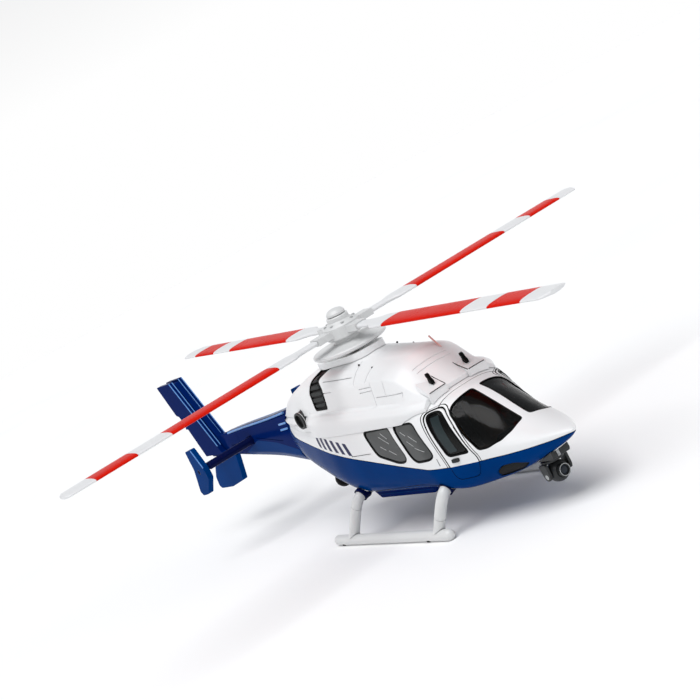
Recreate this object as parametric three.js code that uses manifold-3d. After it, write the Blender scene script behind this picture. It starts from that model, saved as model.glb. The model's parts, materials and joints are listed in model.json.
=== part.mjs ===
// Toy light-twin helicopter with a police-style two-tone body, in millimetres.
// +X points to the nose, +Y to port (left), +Z up.
// Stations along the fuselage are measured from the rotor mast, and heights from a datum just above
// the ground. The finished group is then shifted so that its origin lies on the ground, under the
// middle of the overall box.
import * as THREE from "three";
import { ConvexGeometry } from "three/addons/geometries/ConvexGeometry.js";
import { mergeVertices } from "three/addons/utils/BufferGeometryUtils.js";
import Module from "manifold-3d";

const wasm = await Module();
wasm.setup();

// ---------- Driving dimensions ----------
const GAP = 0.3; // clearance between neighbouring pieces
const PLATE = 3.2; // plate thickness of the construction-toy module
const WALL = 1.7; // wall of the moulded shells
const PANE_INSET = 0.35; // how far the glazing lies below the outer skin
const CORNER_STEPS = 3; // straight pieces along each rounded corner
const SIMPLER = 0.04; // edges shorter or flatter than this are merged away
const BEYOND = 60; // comfortably outside the fuselage, for cutting tools
const CABIN_HALF_WIDTH = 26;
const HULL_TAIL_X = -96; // where the body ends and the tail boom begins
const NOSE_X = 140;

const ROTOR_RADIUS = 156;
const ROTOR_HEIGHT = 95;
const ROTOR_TILT = THREE.MathUtils.degToRad(5.4); // mast leans forward
const ROTOR_PHASE = THREE.MathUtils.degToRad(4.3); // blade angle at rest
const BLADE_COUNT = 4;
const BLADE_CHORD = 14;
const BLADE_THICKNESS = 2.4;
const BLADE_ROOT_RADIUS = 17;

const SKID_Y = 31.2;
const SKID_RADIUS = 2.6;
const SKID_CENTRE_Z = 1.6;
const SKID_SOLE_Z = -0.8; // flat underside of the skids, the lowest level of the whole object
const SKID_REAR_X = -52;
const SKID_FRONT_X = 64.4;

const FIN_CORE_HALF = PLATE / 2;
const TAIL_ROTOR = { x: -240, y: 8.6, z: 70, radius: 17 };

const TURRET = new THREE.Vector3(114.5, 0, 11.7); // centre of the camera ball
const TURRET_RADIUS = 4.6;

// ---------- Finishes ----------
const FINISH = {
  white: { color: 0xf3f4f4, roughness: 0.28, metalness: 0 },
  blue: { color: 0x0a3a78, roughness: 0.3, metalness: 0 },
  navy: { color: 0x141b4d, roughness: 0.35, metalness: 0 },
  black: { color: 0x17181a, roughness: 0.45, metalness: 0 },
  darkGrey: { color: 0x3a3d40, roughness: 0.4, metalness: 0 },
  lightGrey: { color: 0xc9cbca, roughness: 0.35, metalness: 0 },
  smoke: { color: 0x23282b, roughness: 0.08, metalness: 0 },
  rose: { color: 0xe8c9c4, roughness: 0.4, metalness: 0 },
  tan: { color: 0xa58157, roughness: 0.6, metalness: 0 },
};

// ---------- Solids and booleans ----------
function solidOf(geometry) {
  const bare = geometry.clone();
  bare.deleteAttribute("normal");
  bare.deleteAttribute("uv");
  const merged = mergeVertices(bare, 1e-4);
  return new wasm.Manifold(
    new wasm.Mesh({
      numProp: 3,
      vertProperties: merged.attributes.position.array,
      triVerts: new Uint32Array(merged.index.array),
    }),
  );
}

function geometryOf(solid) {
  const mesh = solid.simplify(SIMPLER).getMesh();
  const geometry = new THREE.BufferGeometry();
  geometry.setAttribute("position", new THREE.BufferAttribute(mesh.vertProperties, 3));
  geometry.setIndex(new THREE.BufferAttribute(mesh.triVerts, 1));
  geometry.computeVertexNormals();
  return geometry;
}

function join(first, ...others) {
  return geometryOf(others.reduce((made, next) => made.add(solidOf(next)), solidOf(first)));
}

function cut(first, ...tools) {
  return geometryOf(tools.reduce((made, next) => made.subtract(solidOf(next)), solidOf(first)));
}

function common(first, second) {
  return geometryOf(solidOf(first).intersect(solidOf(second)));
}

// The same shape on the other side of the centre plane.
function mirrored(geometry) {
  const flipped = mergeVertices(geometry.clone(), 1e-5);
  flipped.scale(1, -1, 1);
  const index = flipped.index.array;
  for (let i = 0; i < index.length; i += 3) {
    [index[i + 1], index[i + 2]] = [index[i + 2], index[i + 1]];
  }
  flipped.computeVertexNormals();
  return flipped;
}

// ---------- Curves, rings and prisms ----------
// A smooth function through [x, value] points that never overshoots them (monotone cubic).
function curveThrough(points) {
  const chords = points.slice(1).map(([x, v], i) => (v - points[i][1]) / (x - points[i][0]));
  const slopes = points.map((point, i) => {
    if (i === 0) return chords[0];
    if (i === points.length - 1) return chords[i - 1];
    const product = chords[i - 1] * chords[i];
    return product <= 0 ? 0 : (2 * product) / (chords[i - 1] + chords[i]);
  });
  return (x) => {
    const last = points.length - 2;
    let i = points.findIndex((point, k) => k > 0 && x <= point[0]) - 1;
    i = i < 0 ? (x <= points[0][0] ? 0 : last) : i;
    const [x0, v0] = points[i];
    const [x1, v1] = points[i + 1];
    const t = THREE.MathUtils.clamp((x - x0) / (x1 - x0), 0, 1);
    const width = x1 - x0;
    return (
      v0 * (1 + 2 * t) * (1 - t) ** 2 +
      width * slopes[i] * t * (1 - t) ** 2 +
      v1 * t * t * (3 - 2 * t) +
      width * slopes[i + 1] * t * t * (t - 1)
    );
  };
}

// A closed solid through rings of [y, z] points, one ring per station { x, ring }, x rising.
function loft(stations) {
  const count = stations[0].ring.length;
  const positions = [];
  const index = [];
  for (const { x, ring } of stations) {
    for (const [y, z] of ring) positions.push(x, y, z);
  }
  for (let i = 0; i < stations.length - 1; i += 1) {
    for (let j = 0; j < count; j += 1) {
      const a = i * count + j;
      const b = i * count + ((j + 1) % count);
      index.push(a, b, b + count, a, b + count, a + count);
    }
  }
  for (const end of [0, stations.length - 1]) {
    const { x, ring } = stations[end];
    const middle = positions.length / 3;
    const meanZ = ring.reduce((sum, point) => sum + point[1], 0) / count;
    positions.push(x, 0, meanZ);
    for (let j = 0; j < count; j += 1) {
      const a = end * count + j;
      const b = end * count + ((j + 1) % count);
      if (end === 0) index.push(middle, b, a);
      else index.push(middle, a, b);
    }
  }
  const geometry = new THREE.BufferGeometry();
  geometry.setAttribute("position", new THREE.Float32BufferAttribute(positions, 3));
  geometry.setIndex(index);
  return geometry;
}

// Half of a ring, given from the bottom to the top, becomes a whole one.
function symmetricRing(half) {
  const other = half
    .filter((point) => point[0] > 0)
    .map(([y, z]) => [-y, z])
    .reverse();
  return [...half, ...other];
}

// A shape from [u, v] points with its corners rounded.
function roundedShape(points, radius) {
  const shape = new THREE.Shape();
  const corners = points.map(([u, v]) => new THREE.Vector2(u, v));
  corners.forEach((corner, i) => {
    const before = corners[(i + corners.length - 1) % corners.length];
    const after = corners[(i + 1) % corners.length];
    const inLength = Math.min(radius, corner.distanceTo(before) / 2.05);
    const outLength = Math.min(radius, corner.distanceTo(after) / 2.05);
    const start = corner.clone().add(before.clone().sub(corner).setLength(inLength));
    const end = corner.clone().add(after.clone().sub(corner).setLength(outLength));
    if (i === 0) shape.moveTo(start.x, start.y);
    else shape.lineTo(start.x, start.y);
    shape.quadraticCurveTo(corner.x, corner.y, end.x, end.y);
  });
  shape.closePath();
  return shape;
}

// A flat outline made solid upwards from z = 0, with sharp corners when the radius is nought.
function prism(points, height, radius) {
  const sharp = new THREE.Shape(points.map(([u, v]) => new THREE.Vector2(u, v)));
  const shape = radius ? roundedShape(points, radius) : sharp;
  return new THREE.ExtrudeGeometry(shape, {
    depth: height,
    bevelEnabled: false,
    curveSegments: CORNER_STEPS,
  });
}

// An outline in the side view, [x, z] points, made solid from y = low to y = high.
function sidePrism(points, low, high, radius = 0) {
  const geometry = prism(points, high - low, radius);
  geometry.rotateX(Math.PI / 2);
  geometry.translate(0, high, 0);
  return geometry;
}

// An outline in the top view, [x, y] points, made solid from z = low to z = high.
function topPrism(points, low, high, radius = 0) {
  const geometry = prism(points, high - low, radius);
  geometry.translate(0, 0, low);
  return geometry;
}

// A prism along a slanted direction through an outline of 3-D points.
function slantedPrism(points, direction, reach, radius) {
  const upwards = new THREE.Vector3(0, 0, 1);
  const frame = new THREE.Matrix4().lookAt(direction, new THREE.Vector3(), upwards);
  const inverse = frame.clone().invert();
  const flat = points.map((point) => new THREE.Vector3(...point).applyMatrix4(inverse));
  const depth = flat.reduce((sum, point) => sum + point.z, 0) / flat.length;
  const geometry = prism(flat.map((point) => [point.x, point.y]), 2 * reach, radius);
  geometry.translate(0, 0, depth - reach);
  geometry.applyMatrix4(frame);
  return geometry;
}

// A round bar along a line or a smooth path of 3-D points.
function tube(points, radius, sides, steps) {
  const vectors = points.map((point) => new THREE.Vector3(...point));
  const circle = new THREE.Shape();
  circle.absarc(0, 0, radius, 0, Math.PI * 2, false);
  return new THREE.ExtrudeGeometry(circle, {
    steps,
    bevelEnabled: false,
    extrudePath: new THREE.CatmullRomCurve3(vectors, false, "catmullrom", 0.5),
    curveSegments: sides,
  });
}

// A cylinder with its axis along x, y or z, centred on a point.
function drum(radius, length, axis, centre, sides = 20) {
  const geometry = new THREE.CylinderGeometry(radius, radius, length, sides);
  if (axis === "x") geometry.rotateZ(Math.PI / 2);
  if (axis === "z") geometry.rotateX(Math.PI / 2);
  geometry.translate(...centre);
  return geometry;
}

function block(size, centre) {
  const geometry = new THREE.BoxGeometry(...size);
  geometry.translate(...centre);
  return geometry;
}

// ---------- Fuselage body ----------
// Every section is a superellipse: widest at the waist, with its own squareness above and below.
const BODY = {
  bottom: curveThrough([
    [-96, 34], [-80, 30.5], [-60, 24.6], [-40, 19.8], [-20, 17.2], [0, 17], [45, 17], [62, 15.8],
    [75, 14.4], [92, 15.1], [106, 17.2], [120, 20.7], [132, 24.1], [137, 26], [NOSE_X, 27.4],
  ]),
  crown: curveThrough([
    [-96, 62], [-60, 60.5], [0, 60], [60, 58.8], [76, 56.2], [84, 54.7], [90, 52.1], [98, 47.2],
    [106, 41.5], [113, 37], [122, 33.5], [132, 31], [137, 29.8], [NOSE_X, 28.8],
  ]),
  halfWidth: curveThrough([
    [-96, 8.4], [-80, 13.6], [-60, 18], [-40, 22], [-20, 25], [0, CABIN_HALF_WIDTH],
    [62, CABIN_HALF_WIDTH], [76, 23.4], [84, 21.4], [93, 19.1], [101, 17.1], [110, 15.1],
    [119, 12.2], [128, 8.2], [135, 4.4], [NOSE_X, 1],
  ]),
  waist: curveThrough([
    [-96, 48], [-60, 43], [-20, 38], [20, 35], [60, 33.5], [100, 31.5], [122, 29.6],
    [NOSE_X, 28.2],
  ]),
  squareBelow: curveThrough([
    [-96, 2.2], [-40, 2.7], [0, 3.4], [50, 3.4], [72, 3.9], [84, 3.4], [95, 2.9], [112, 2.75],
    [NOSE_X, 2],
  ]),
  squareAbove: curveThrough([
    [-96, 2.4], [-50, 3.8], [0, 5], [66, 5], [76, 3.6], [82, 2.6], [90, 1.95], [104, 1.8],
    [118, 1.85], [NOSE_X, 2],
  ]),
};
const OUTER_STATIONS = [
  -84, -72, -58, -42, -24, 0, 45, 62, 76, 84, 91, 98, 105, 112, 119, 126, 132, 137.5,
];
const INNER_STATIONS = [-72, -46, -24, 0, 45, 62, 80, 90, 98, 106, 114, 124];
const OUTER_RING_POINTS = 24;
const INNER_RING_POINTS = 20;

// The body's section at x, grown outwards (or shrunk when grow is negative).
function bodyRing(x, grow, count) {
  const half = Math.max(BODY.halfWidth(x) + grow, 0.6);
  const waist = BODY.waist(x);
  const up = Math.max(BODY.crown(x) + grow - waist, 0.4);
  const down = Math.max(waist - BODY.bottom(x) + grow, 0.4);
  const ring = [];
  for (let j = 0; j < count; j += 1) {
    const angle = ((j + 0.5) / count) * Math.PI * 2;
    const above = Math.sin(angle) > 0;
    const power = 2 / (above ? BODY.squareAbove(x) : BODY.squareBelow(x));
    const across = Math.sign(Math.cos(angle)) * Math.abs(Math.cos(angle)) ** power;
    const along = Math.sign(Math.sin(angle)) * Math.abs(Math.sin(angle)) ** power;
    ring.push([half * across, waist + (above ? up : down) * along]);
  }
  return ring;
}

function bodySolid(grow) {
  const all = [HULL_TAIL_X - Math.max(grow, 0), ...OUTER_STATIONS, NOSE_X + Math.max(grow, 0)];
  return loft(all.map((x) => ({ x, ring: bodyRing(x, grow, OUTER_RING_POINTS) })));
}

// The hollow inside the body, with walls of the given thickness.
function bodyHollow(wall) {
  const all = [HULL_TAIL_X + 4, ...INNER_STATIONS, NOSE_X - 7];
  return loft(all.map((x) => ({ x, ring: bodyRing(x, -wall, INNER_RING_POINTS) })));
}

// The colour break along the side, [x, z], from the tail to the nose.
const COLOUR_BREAK = [
  [-110, 76], [-96, 64], [-90, 54], [-82, 51.6], [-66, 49.4], [-43, 46.6], [-20, 43.2], [-2, 40.2],
  [39, 33.4], [62, 30], [76, 28.7], [94, 27.9], [114, 27.6], [132, 27.3], [160, 28],
];

function belowBreak(drop) {
  const line = COLOUR_BREAK.map(([x, z]) => [x, z - drop]);
  return sidePrism([[-110, -10], [160, -10], ...line.reverse()], -60, 60);
}

function aboveBreak(rise) {
  const line = COLOUR_BREAK.map(([x, z]) => [x, z + rise]);
  return sidePrism([...line, [160, 120], [-110, 120]], -60, 60);
}

// Outlines in the side view, [x, z].
const DOOR_OUTLINE = [
  [76.8, 22], [88.6, 21.4], [92.4, 25], [94.4, 29.4], [84.6, 47], [80.4, 53], [72.4, 53.2],
  [76.4, 30],
];
const DOOR_GLASS_OUTLINE = [
  [74.2, 52], [79.2, 51.8], [82.2, 47.8], [90.4, 33.2], [78.8, 33.6], [77.8, 38],
];
const REAR_GLASS_OUTLINE = [
  [20.6, 51.2], [44.6, 51.4], [49.2, 37], [46, 35], [40, 35.2], [24.4, 39.8],
];
const FRONT_GLASS_OUTLINE = [
  [49.8, 51.6], [66.2, 51.4], [70.4, 36], [68.2, 34.4], [56.6, 34.2], [53.8, 36.6],
];
const NOSE_VENT_OUTLINE = [
  [94.2, 17.6], [97, 21], [102.5, 23.4], [110.6, 23.4], [114.8, 21], [106, 17.8],
];

// Windscreen pane on the right-hand side, 3-D points round its edge.
const SCREEN_OUTLINE = [
  [86.6, -2.2, 54], [112.2, -2.2, 37.4], [112.4, -9.6, 35.4], [109.4, -13.8, 33.8],
  [102.1, -16.7, 32.8], [96.4, -18.1, 33], [91, -17.9, 39.6], [84.2, -15.8, 49.6],
  [84, -13, 51.8], [85.4, -8.4, 53.4],
];
const SCREEN_NORMAL = new THREE.Vector3(0.62, -0.42, 0.66).normalize();
const SCREEN_REACH = 14;
const DOOR_INNER_Y = 12;
const VENT_INNER_Y = 7;
const CORNER_RADIUS = { door: 3, window: 2.6, vent: 2, screen: 1.6 };

// A flat outline moved outwards, every edge by the same distance (inwards when negative).
function grownOutline(points, grow) {
  const corners = points.map(([u, v]) => new THREE.Vector2(u, v));
  const turn = Math.sign(THREE.ShapeUtils.area(corners));
  return corners.map((corner, i) => {
    const before = corners[(i + corners.length - 1) % corners.length];
    const after = corners[(i + 1) % corners.length];
    const arriving = corner.clone().sub(before).normalize();
    const leaving = after.clone().sub(corner).normalize();
    const along = arriving.add(leaving);
    const outward = new THREE.Vector2(turn * along.y, -turn * along.x);
    const reach = (2 * grow) / outward.lengthSq();
    return [corner.x + outward.x * reach, corner.y + outward.y * reach];
  });
}

// A 3-D outline drawn in towards its middle by the given distance at every corner.
function shrunkOutline(points, shrink) {
  const corners = points.map((point) => new THREE.Vector3(...point));
  const middle = new THREE.Vector3();
  corners.forEach((corner) => middle.addScaledVector(corner, 1 / corners.length));
  return corners.map((corner) => {
    const away = corner.clone().sub(middle);
    return middle.clone().add(away.setLength(away.length() - shrink)).toArray();
  });
}

const outerBody = bodySolid(0);
const clearBody = bodySolid(GAP);
const hollow = bodyHollow(WALL);
const bodyShell = cut(outerBody, hollow);
const glazingSkin = cut(bodySolid(-PANE_INSET), hollow);

const doorOpening = sidePrism(DOOR_OUTLINE, -BEYOND, -DOOR_INNER_Y, CORNER_RADIUS.door);
const rearGlassHole = sidePrism(REAR_GLASS_OUTLINE, -BEYOND, BEYOND, CORNER_RADIUS.window);
const frontGlassHole = sidePrism(FRONT_GLASS_OUTLINE, -BEYOND, BEYOND, CORNER_RADIUS.window);
const screenHole = slantedPrism(SCREEN_OUTLINE, SCREEN_NORMAL, SCREEN_REACH, CORNER_RADIUS.screen);
const ventHole = sidePrism(NOSE_VENT_OUTLINE, -BEYOND, -VENT_INNER_Y, CORNER_RADIUS.vent);

function hullLower() {
  const lower = common(bodyShell, belowBreak(GAP / 2));
  return cut(lower, doorOpening, mirrored(doorOpening), ventHole, mirrored(ventHole));
}

function cabinShell() {
  const upper = common(bodyShell, aboveBreak(GAP / 2));
  const doors = [doorOpening, mirrored(doorOpening)];
  const screens = [screenHole, mirrored(screenHole)];
  return cut(upper, ...doors, rearGlassHole, frontGlassHole, ...screens);
}

function doorRight() {
  const outline = grownOutline(DOOR_OUTLINE, -GAP);
  const blank = sidePrism(outline, -BEYOND, -DOOR_INNER_Y, CORNER_RADIUS.door);
  const glassHole = sidePrism(DOOR_GLASS_OUTLINE, -BEYOND, -DOOR_INNER_Y, CORNER_RADIUS.window);
  return cut(common(bodyShell, blank), glassHole);
}

// A right-hand pane of the body's own shape that fills one of the side openings.
function sidePane(outline, radius) {
  const inner = -VENT_INNER_Y - GAP;
  return common(glazingSkin, sidePrism(grownOutline(outline, -GAP), -BEYOND, inner, radius));
}

function windscreenRight() {
  const shrunk = shrunkOutline(SCREEN_OUTLINE, 1.4 * GAP);
  const plug = slantedPrism(shrunk, SCREEN_NORMAL, SCREEN_REACH, CORNER_RADIUS.screen);
  return common(glazingSkin, plug);
}

// ---------- Engine cowling ----------
// A long hood over the engines. From the foot up, each side rises over a sponson to a ledge, then
// leans in to a crease, a hip and a shoulder, and meets the other side along the crown.
const COWL = {
  crown: curveThrough([
    [-94, 63.6], [-90, 65.8], [-82, 69.8], [-73, 73], [-58, 76.6], [-48, 78.8], [-27, 81.6],
    [8, 82], [31, 78.4], [45, 76.2], [54, 75], [64, 67.2], [74, 58.6],
  ]),
  crease: curveThrough([
    [-94, 62.6], [-84, 66], [-60, 70], [-30, 73], [-10, 73], [26, 71.4], [47, 71.4], [70, 60.2],
    [74, 58],
  ]),
  creaseHalf: curveThrough([[-94, 6], [-80, 10], [-60, 14.2], [-30, 18], [46, 18.6], [74, 15.6]]),
  hipHalf: curveThrough([[-94, 5.4], [-60, 12.2], [-30, 14.8], [10, 15], [46, 14.4], [74, 12]]),
  shoulderHalf: curveThrough([[-94, 4], [-60, 7], [-25, 8], [10, 8.4], [31, 9.4], [74, 9]]),
  ledge: curveThrough([[-94, 61.7], [-34, 62.8], [60, 59.4], [74, 57.4]]),
  ledgeHalf: curveThrough([[-94, 7.4], [-80, 12], [-60, 16.4], [-34, 20], [60, 20.6], [74, 17]]),
  sponsonHalf: curveThrough([
    [-94, 8.4], [-82, 13], [-62, 17.6], [-42, 21], [-36, 23.6], [-28, 25.4], [0, 26.6],
    [54, 26.6], [64, 25], [74, 20],
  ]),
  sponsonFoot: curveThrough([[-94, 59.6], [-76, 57], [-60, 54.6], [-34, 52.6], [74, 51.6]]),
};
const COWL_FRONT_X = 74;
const COWL_STATIONS = [
  -94, -88, -81, -73, -63, -52, -43, -37, -30, -18, 8, 31, 47, 54, 60, 67, COWL_FRONT_X,
];
const HIP_RISE = 0.5; // heights of the hip and the shoulder between the crease and the crown
const SHOULDER_RISE = 0.87;

function cowlRing(x, inset) {
  const ledge = COWL.ledge(x);
  const sponson = COWL.sponsonHalf(x) - inset;
  const foot = COWL.sponsonFoot(x) + inset;
  const crease = Math.max(COWL.crease(x) - inset, ledge + 0.3);
  const crown = Math.max(COWL.crown(x) - inset, crease + 0.2);
  return symmetricRing([
    [sponson - 0.9, foot],
    [sponson, foot + (ledge - foot) * 0.5],
    [sponson - 0.4, ledge - 2],
    [sponson - 2.6, ledge - inset],
    [COWL.ledgeHalf(x) - inset, ledge + 0.2 - inset],
    [COWL.creaseHalf(x) - inset, crease],
    [COWL.hipHalf(x) - inset, crease + (crown - crease) * HIP_RISE],
    [COWL.shoulderHalf(x), crease + (crown - crease) * SHOULDER_RISE],
    [0, crown],
  ]);
}

// The cowling's outer shape, moved inwards (or outwards when the inset is negative).
function cowlSolid(inset) {
  return loft(COWL_STATIONS.map((x) => ({ x, ring: cowlRing(x, inset) })));
}

function clearCowlSolid() {
  const stations = [COWL_STATIONS[0] - GAP, ...COWL_STATIONS.slice(1, -1), COWL_FRONT_X + GAP];
  return loft(stations.map((x) => ({ x, ring: cowlRing(x, -GAP) })));
}

function cowlHollowRing(x) {
  return symmetricRing([
    [COWL.ledgeHalf(x) - 3, 50],
    [COWL.ledgeHalf(x) - 3, COWL.ledge(x)],
    [COWL.creaseHalf(x) - 2.6, COWL.crease(x) - 2.4],
    [COWL.shoulderHalf(x) - 1, COWL.crown(x) - 3.6],
    [0, COWL.crown(x) - 3],
  ]);
}

const COWL_HOLLOW_STATIONS = [-74, -52, -24, 8, 31, 46];
const clearCowl = clearCowlSolid();
const cowlHollow = loft(COWL_HOLLOW_STATIONS.map((x) => ({ x, ring: cowlHollowRing(x) })));
const mastHole = drum(6, 24, "z", [-2, 0, 84]);

// The black louvred band climbs the cowling's side and runs forward to the mast, [x, z].
const LOUVRE_OUTLINE = [
  [-27, 64.6], [-13.4, 64.3], [-13, 73], [-20, 77.4], [-14, 80], [-3, 81.8], [-3, 90], [-14, 90],
  [-24, 81], [-29, 77.6], [-28.6, 74],
];
const LOUVRE_DEPTH = 1.3;

function louvreZone(grow) {
  return sidePrism(grownOutline(LOUVRE_OUTLINE, grow), -BEYOND, BEYOND, 1.5);
}

function engineCowling() {
  const recess = cut(louvreZone(GAP), cowlSolid(LOUVRE_DEPTH + GAP));
  const shell = cut(cowlSolid(0), clearBody, cowlHollow, mastHole);
  return cut(shell, recess, boomSolid(GAP), exhaustHole(-1), exhaustHole(1));
}

function louvreBand() {
  const strip = common(cowlSolid(GAP), louvreZone(0));
  return cut(strip, cowlSolid(LOUVRE_DEPTH), mastHole);
}

// ---------- Exhausts, scoops and roof fittings ----------
const EXHAUST = { x: -48, y: 18.6, z: 61.6, radius: 4.4, bore: 3.4, length: 5, cup: 1.1 };

function exhaustHole(side) {
  const inside = side * (EXHAUST.y - 0.4);
  return drum(EXHAUST.radius + GAP, 8, "y", [EXHAUST.x, inside, EXHAUST.z]);
}

// A pipe stub whose mouth is a shallow round cup.
function exhaust() {
  const mouthY = -EXHAUST.y - EXHAUST.length / 2;
  const pipe = drum(EXHAUST.radius, EXHAUST.length, "y", [EXHAUST.x, -EXHAUST.y, EXHAUST.z]);
  const mouth = drum(EXHAUST.bore, 2 * EXHAUST.cup, "y", [EXHAUST.x, mouthY, EXHAUST.z]);
  return cut(pipe, mouth, clearBody);
}

// A fairing on the roof at the foot of the cowling's front slope: a wedge with a flat top, a
// square front and a broad side that leans in towards the rear.
const ROOF_BOX_POINTS = [
  [75.8, -15.8, 53], [75.8, -15.8, 59.4], [75.8, -6.2, 59.6], [75.8, -6.2, 53],
  [70, -12.6, 62.2], [70, -6.2, 62.4], [64.5, -10.4, 65.2], [64.5, -6.2, 65.4],
  [66, -14.3, 64.2], [66, -15.9, 61.5], [64.4, -16, 58], [63.8, -16.4, 53], [62, -6.2, 53],
];

function roofBox() {
  const wedge = new ConvexGeometry(ROOF_BOX_POINTS.map((point) => new THREE.Vector3(...point)));
  return cut(wedge, clearBody, clearCowl);
}

// A small towing hook standing on the roof box.
const HOOK_OUTLINE = [
  [70.2, 62.7], [72.8, 61.5], [72.8, 63.4], [71.9, 64.4], [71.6, 66.2], [70.4, 67], [70, 66],
  [70.6, 64.8],
];
const HOOK = { y: 9.6, halfWidth: 0.8 };

function roofHook() {
  return sidePrism(HOOK_OUTLINE, -HOOK.y - HOOK.halfWidth, -HOOK.y + HOOK.halfWidth, 0.4);
}

function whipAntenna() {
  return cut(tube([[65, 9.4, 63], [59, 9.4, 70.4], [53, 9.4, 77.6]], 0.55, 3, 2), clearCowl);
}

// ---------- Rotor ----------
// Turned pieces have profiles of [radius, height along the mast from the rotor centre].
function turned(profile, sides) {
  const geometry = new THREE.LatheGeometry(profile.map((p) => new THREE.Vector2(...p)), sides);
  geometry.rotateX(Math.PI / 2);
  return geometry;
}

const HUB_PROFILE = [
  [0, -31], [2.4, -31], [2.4, -10.4], [15, -9.7], [18.4, -8.6], [18.4, -7.2], [7, -6], [6, -4],
  [9, -3.4], [9, 2.6], [5.4, 4], [5.4, 6.4], [0, 6.4],
];
const CAP_PROFILE = [[0, 6.7], [4.6, 6.7], [4.6, 8], [3, 9.4], [0, 9.9]];
const BUSH_PROFILE = [[2.7, -33.8], [5.2, -33.8], [5.2, -27], [2.7, -27], [2.7, -33.8]];
const YOKE = { width: 7, height: 3.2 };

// A low streamlined block on the cowling, with a clear hole for the mast.
function mastFairing() {
  const rightHalf = [[-30, -7], [-20, -9.6], [12, -9.6], [20, -6]];
  const leftHalf = rightHalf.map(([x, y]) => [x, -y]).reverse();
  const slab = topPrism([...rightHalf, ...leftHalf], 76, 83.3, 4);
  const clearLouvre = common(cowlSolid(0), louvreZone(GAP));
  return cut(slab, clearCowl, clearLouvre, drum(5.4, 30, "z", [-1, 0, 84]));
}

function rotorHub() {
  const reach = 2 * (BLADE_ROOT_RADIUS - GAP);
  const armsAlong = block([reach, YOKE.width, YOKE.height], [0, 0, 0]);
  const armsAcross = block([YOKE.width, reach, YOKE.height], [0, 0, 0]);
  return join(turned(HUB_PROFILE, 24), armsAlong, armsAcross);
}

// A blade along +X: a slim grip that widens into a flat blade with rounded corners at the tip.
function blade() {
  const half = BLADE_CHORD / 2;
  const gripEnd = BLADE_ROOT_RADIUS + 9;
  const fullChord = BLADE_ROOT_RADIUS + 16;
  const outline = [
    [BLADE_ROOT_RADIUS, -3], [gripEnd, -3.4], [fullChord, -half], [ROTOR_RADIUS - 3, -half],
    [ROTOR_RADIUS, -half + 4], [ROTOR_RADIUS, half - 1], [ROTOR_RADIUS - 1, half],
    [fullChord, half], [gripEnd, 3.4], [BLADE_ROOT_RADIUS, 3],
  ];
  return topPrism(outline, -BLADE_THICKNESS / 2, BLADE_THICKNESS / 2, 1.2);
}

// ---------- Tail ----------
const BOOM_END_X = -196;
const BOOM_STATIONS = [-180, -163, -150, -130, -112];
const BOOM = {
  top: curveThrough([[BOOM_END_X, 58.8], [-167, 60.4], [-130, 62], [HULL_TAIL_X, 64.2]]),
  bottom: curveThrough([[BOOM_END_X, 44.8], [-183, 43.6], [-130, 39], [HULL_TAIL_X, 34]]),
  half: curveThrough([[BOOM_END_X, 5], [-150, 5.8], [HULL_TAIL_X, 8.4]]),
};

function boomRing(x, grow) {
  const top = BOOM.top(x) + grow;
  const bottom = BOOM.bottom(x) - grow;
  const half = BOOM.half(x) + grow;
  const middle = bottom + (top - bottom) * 0.55;
  return symmetricRing([
    [half * 0.5, bottom],
    [half * 0.92, bottom + (middle - bottom) * 0.3],
    [half, middle],
    [half * 0.84, top - (top - middle) * 0.25],
    [half * 0.45, top],
  ]);
}

function boomSolid(grow) {
  const stations = [BOOM_END_X - grow, ...BOOM_STATIONS, HULL_TAIL_X - GAP + grow];
  return loft(stations.map((x) => ({ x, ring: boomRing(x, grow) })));
}

const STABILISER_OUTLINE = [
  [-163, 50.8], [-155.4, 50], [-153.4, 52.4], [-155.4, 54.8], [-163, 53.8],
];
const STABILISER_HALF_SPAN = 34.5;
const ENDPLATE_OUTLINE = [
  [-170.6, 63.8], [-162, 64.4], [-156.8, 52.4], [-156.8, 46.4], [-169, 37.4], [-177.4, 37],
  [-179.4, 39.4], [-171.6, 52.6],
];
const ENDPLATE_HOLE = [-166, -36, 50.8];
const FIN_CORE_OUTLINE = [
  [BOOM_END_X - GAP, 44.6], [BOOM_END_X - 3, 58], [-213.6, 58], [-234.6, 95.2], [-255.8, 95.2],
  [-236, 45.6],
];
const FIN_PLATE_OUTLINE = [
  [-205, 47.6], [-211, 48.4], [-236, 96.4], [-257.4, 96.4], [-250.4, 76.6], [-246.6, 75.2],
  [-244.4, 70], [-237.4, 47.6],
];
const VENTRAL_OUTLINE = [
  [-201, 44], [-234, 45.2], [-243.4, 38], [-249.6, 32.4], [-251.4, 26.6], [-249, 24.8],
  [-231, 24.9], [-209.6, 28.2], [-203.8, 38.6],
];

function tailBoom() {
  const slot = sidePrism(grownOutline(STABILISER_OUTLINE, GAP), -BEYOND, BEYOND);
  return cut(boomSolid(0), slot);
}

function stabiliser() {
  return sidePrism(STABILISER_OUTLINE, -STABILISER_HALF_SPAN, STABILISER_HALF_SPAN, 1);
}

function endplate() {
  const inner = -STABILISER_HALF_SPAN - GAP;
  const plate = sidePrism(ENDPLATE_OUTLINE, inner - PLATE, inner, 1.2);
  return cut(plate, drum(1.6, 8, "y", ENDPLATE_HOLE, 12));
}

// The fin is three plates thick; its outer plates are a little larger than the core.
function finCore() {
  return sidePrism(FIN_CORE_OUTLINE, -FIN_CORE_HALF, FIN_CORE_HALF, 1);
}

function finPlate() {
  const inner = -FIN_CORE_HALF - GAP;
  return sidePrism(FIN_PLATE_OUTLINE, inner - PLATE + GAP, inner, 1);
}

function ventralFin() {
  const clearFinCore = sidePrism(grownOutline(FIN_CORE_OUTLINE, 1.5 * GAP), -PLATE, PLATE);
  return cut(sidePrism(VENTRAL_OUTLINE, -FIN_CORE_HALF, FIN_CORE_HALF, 1), clearFinCore);
}

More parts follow.
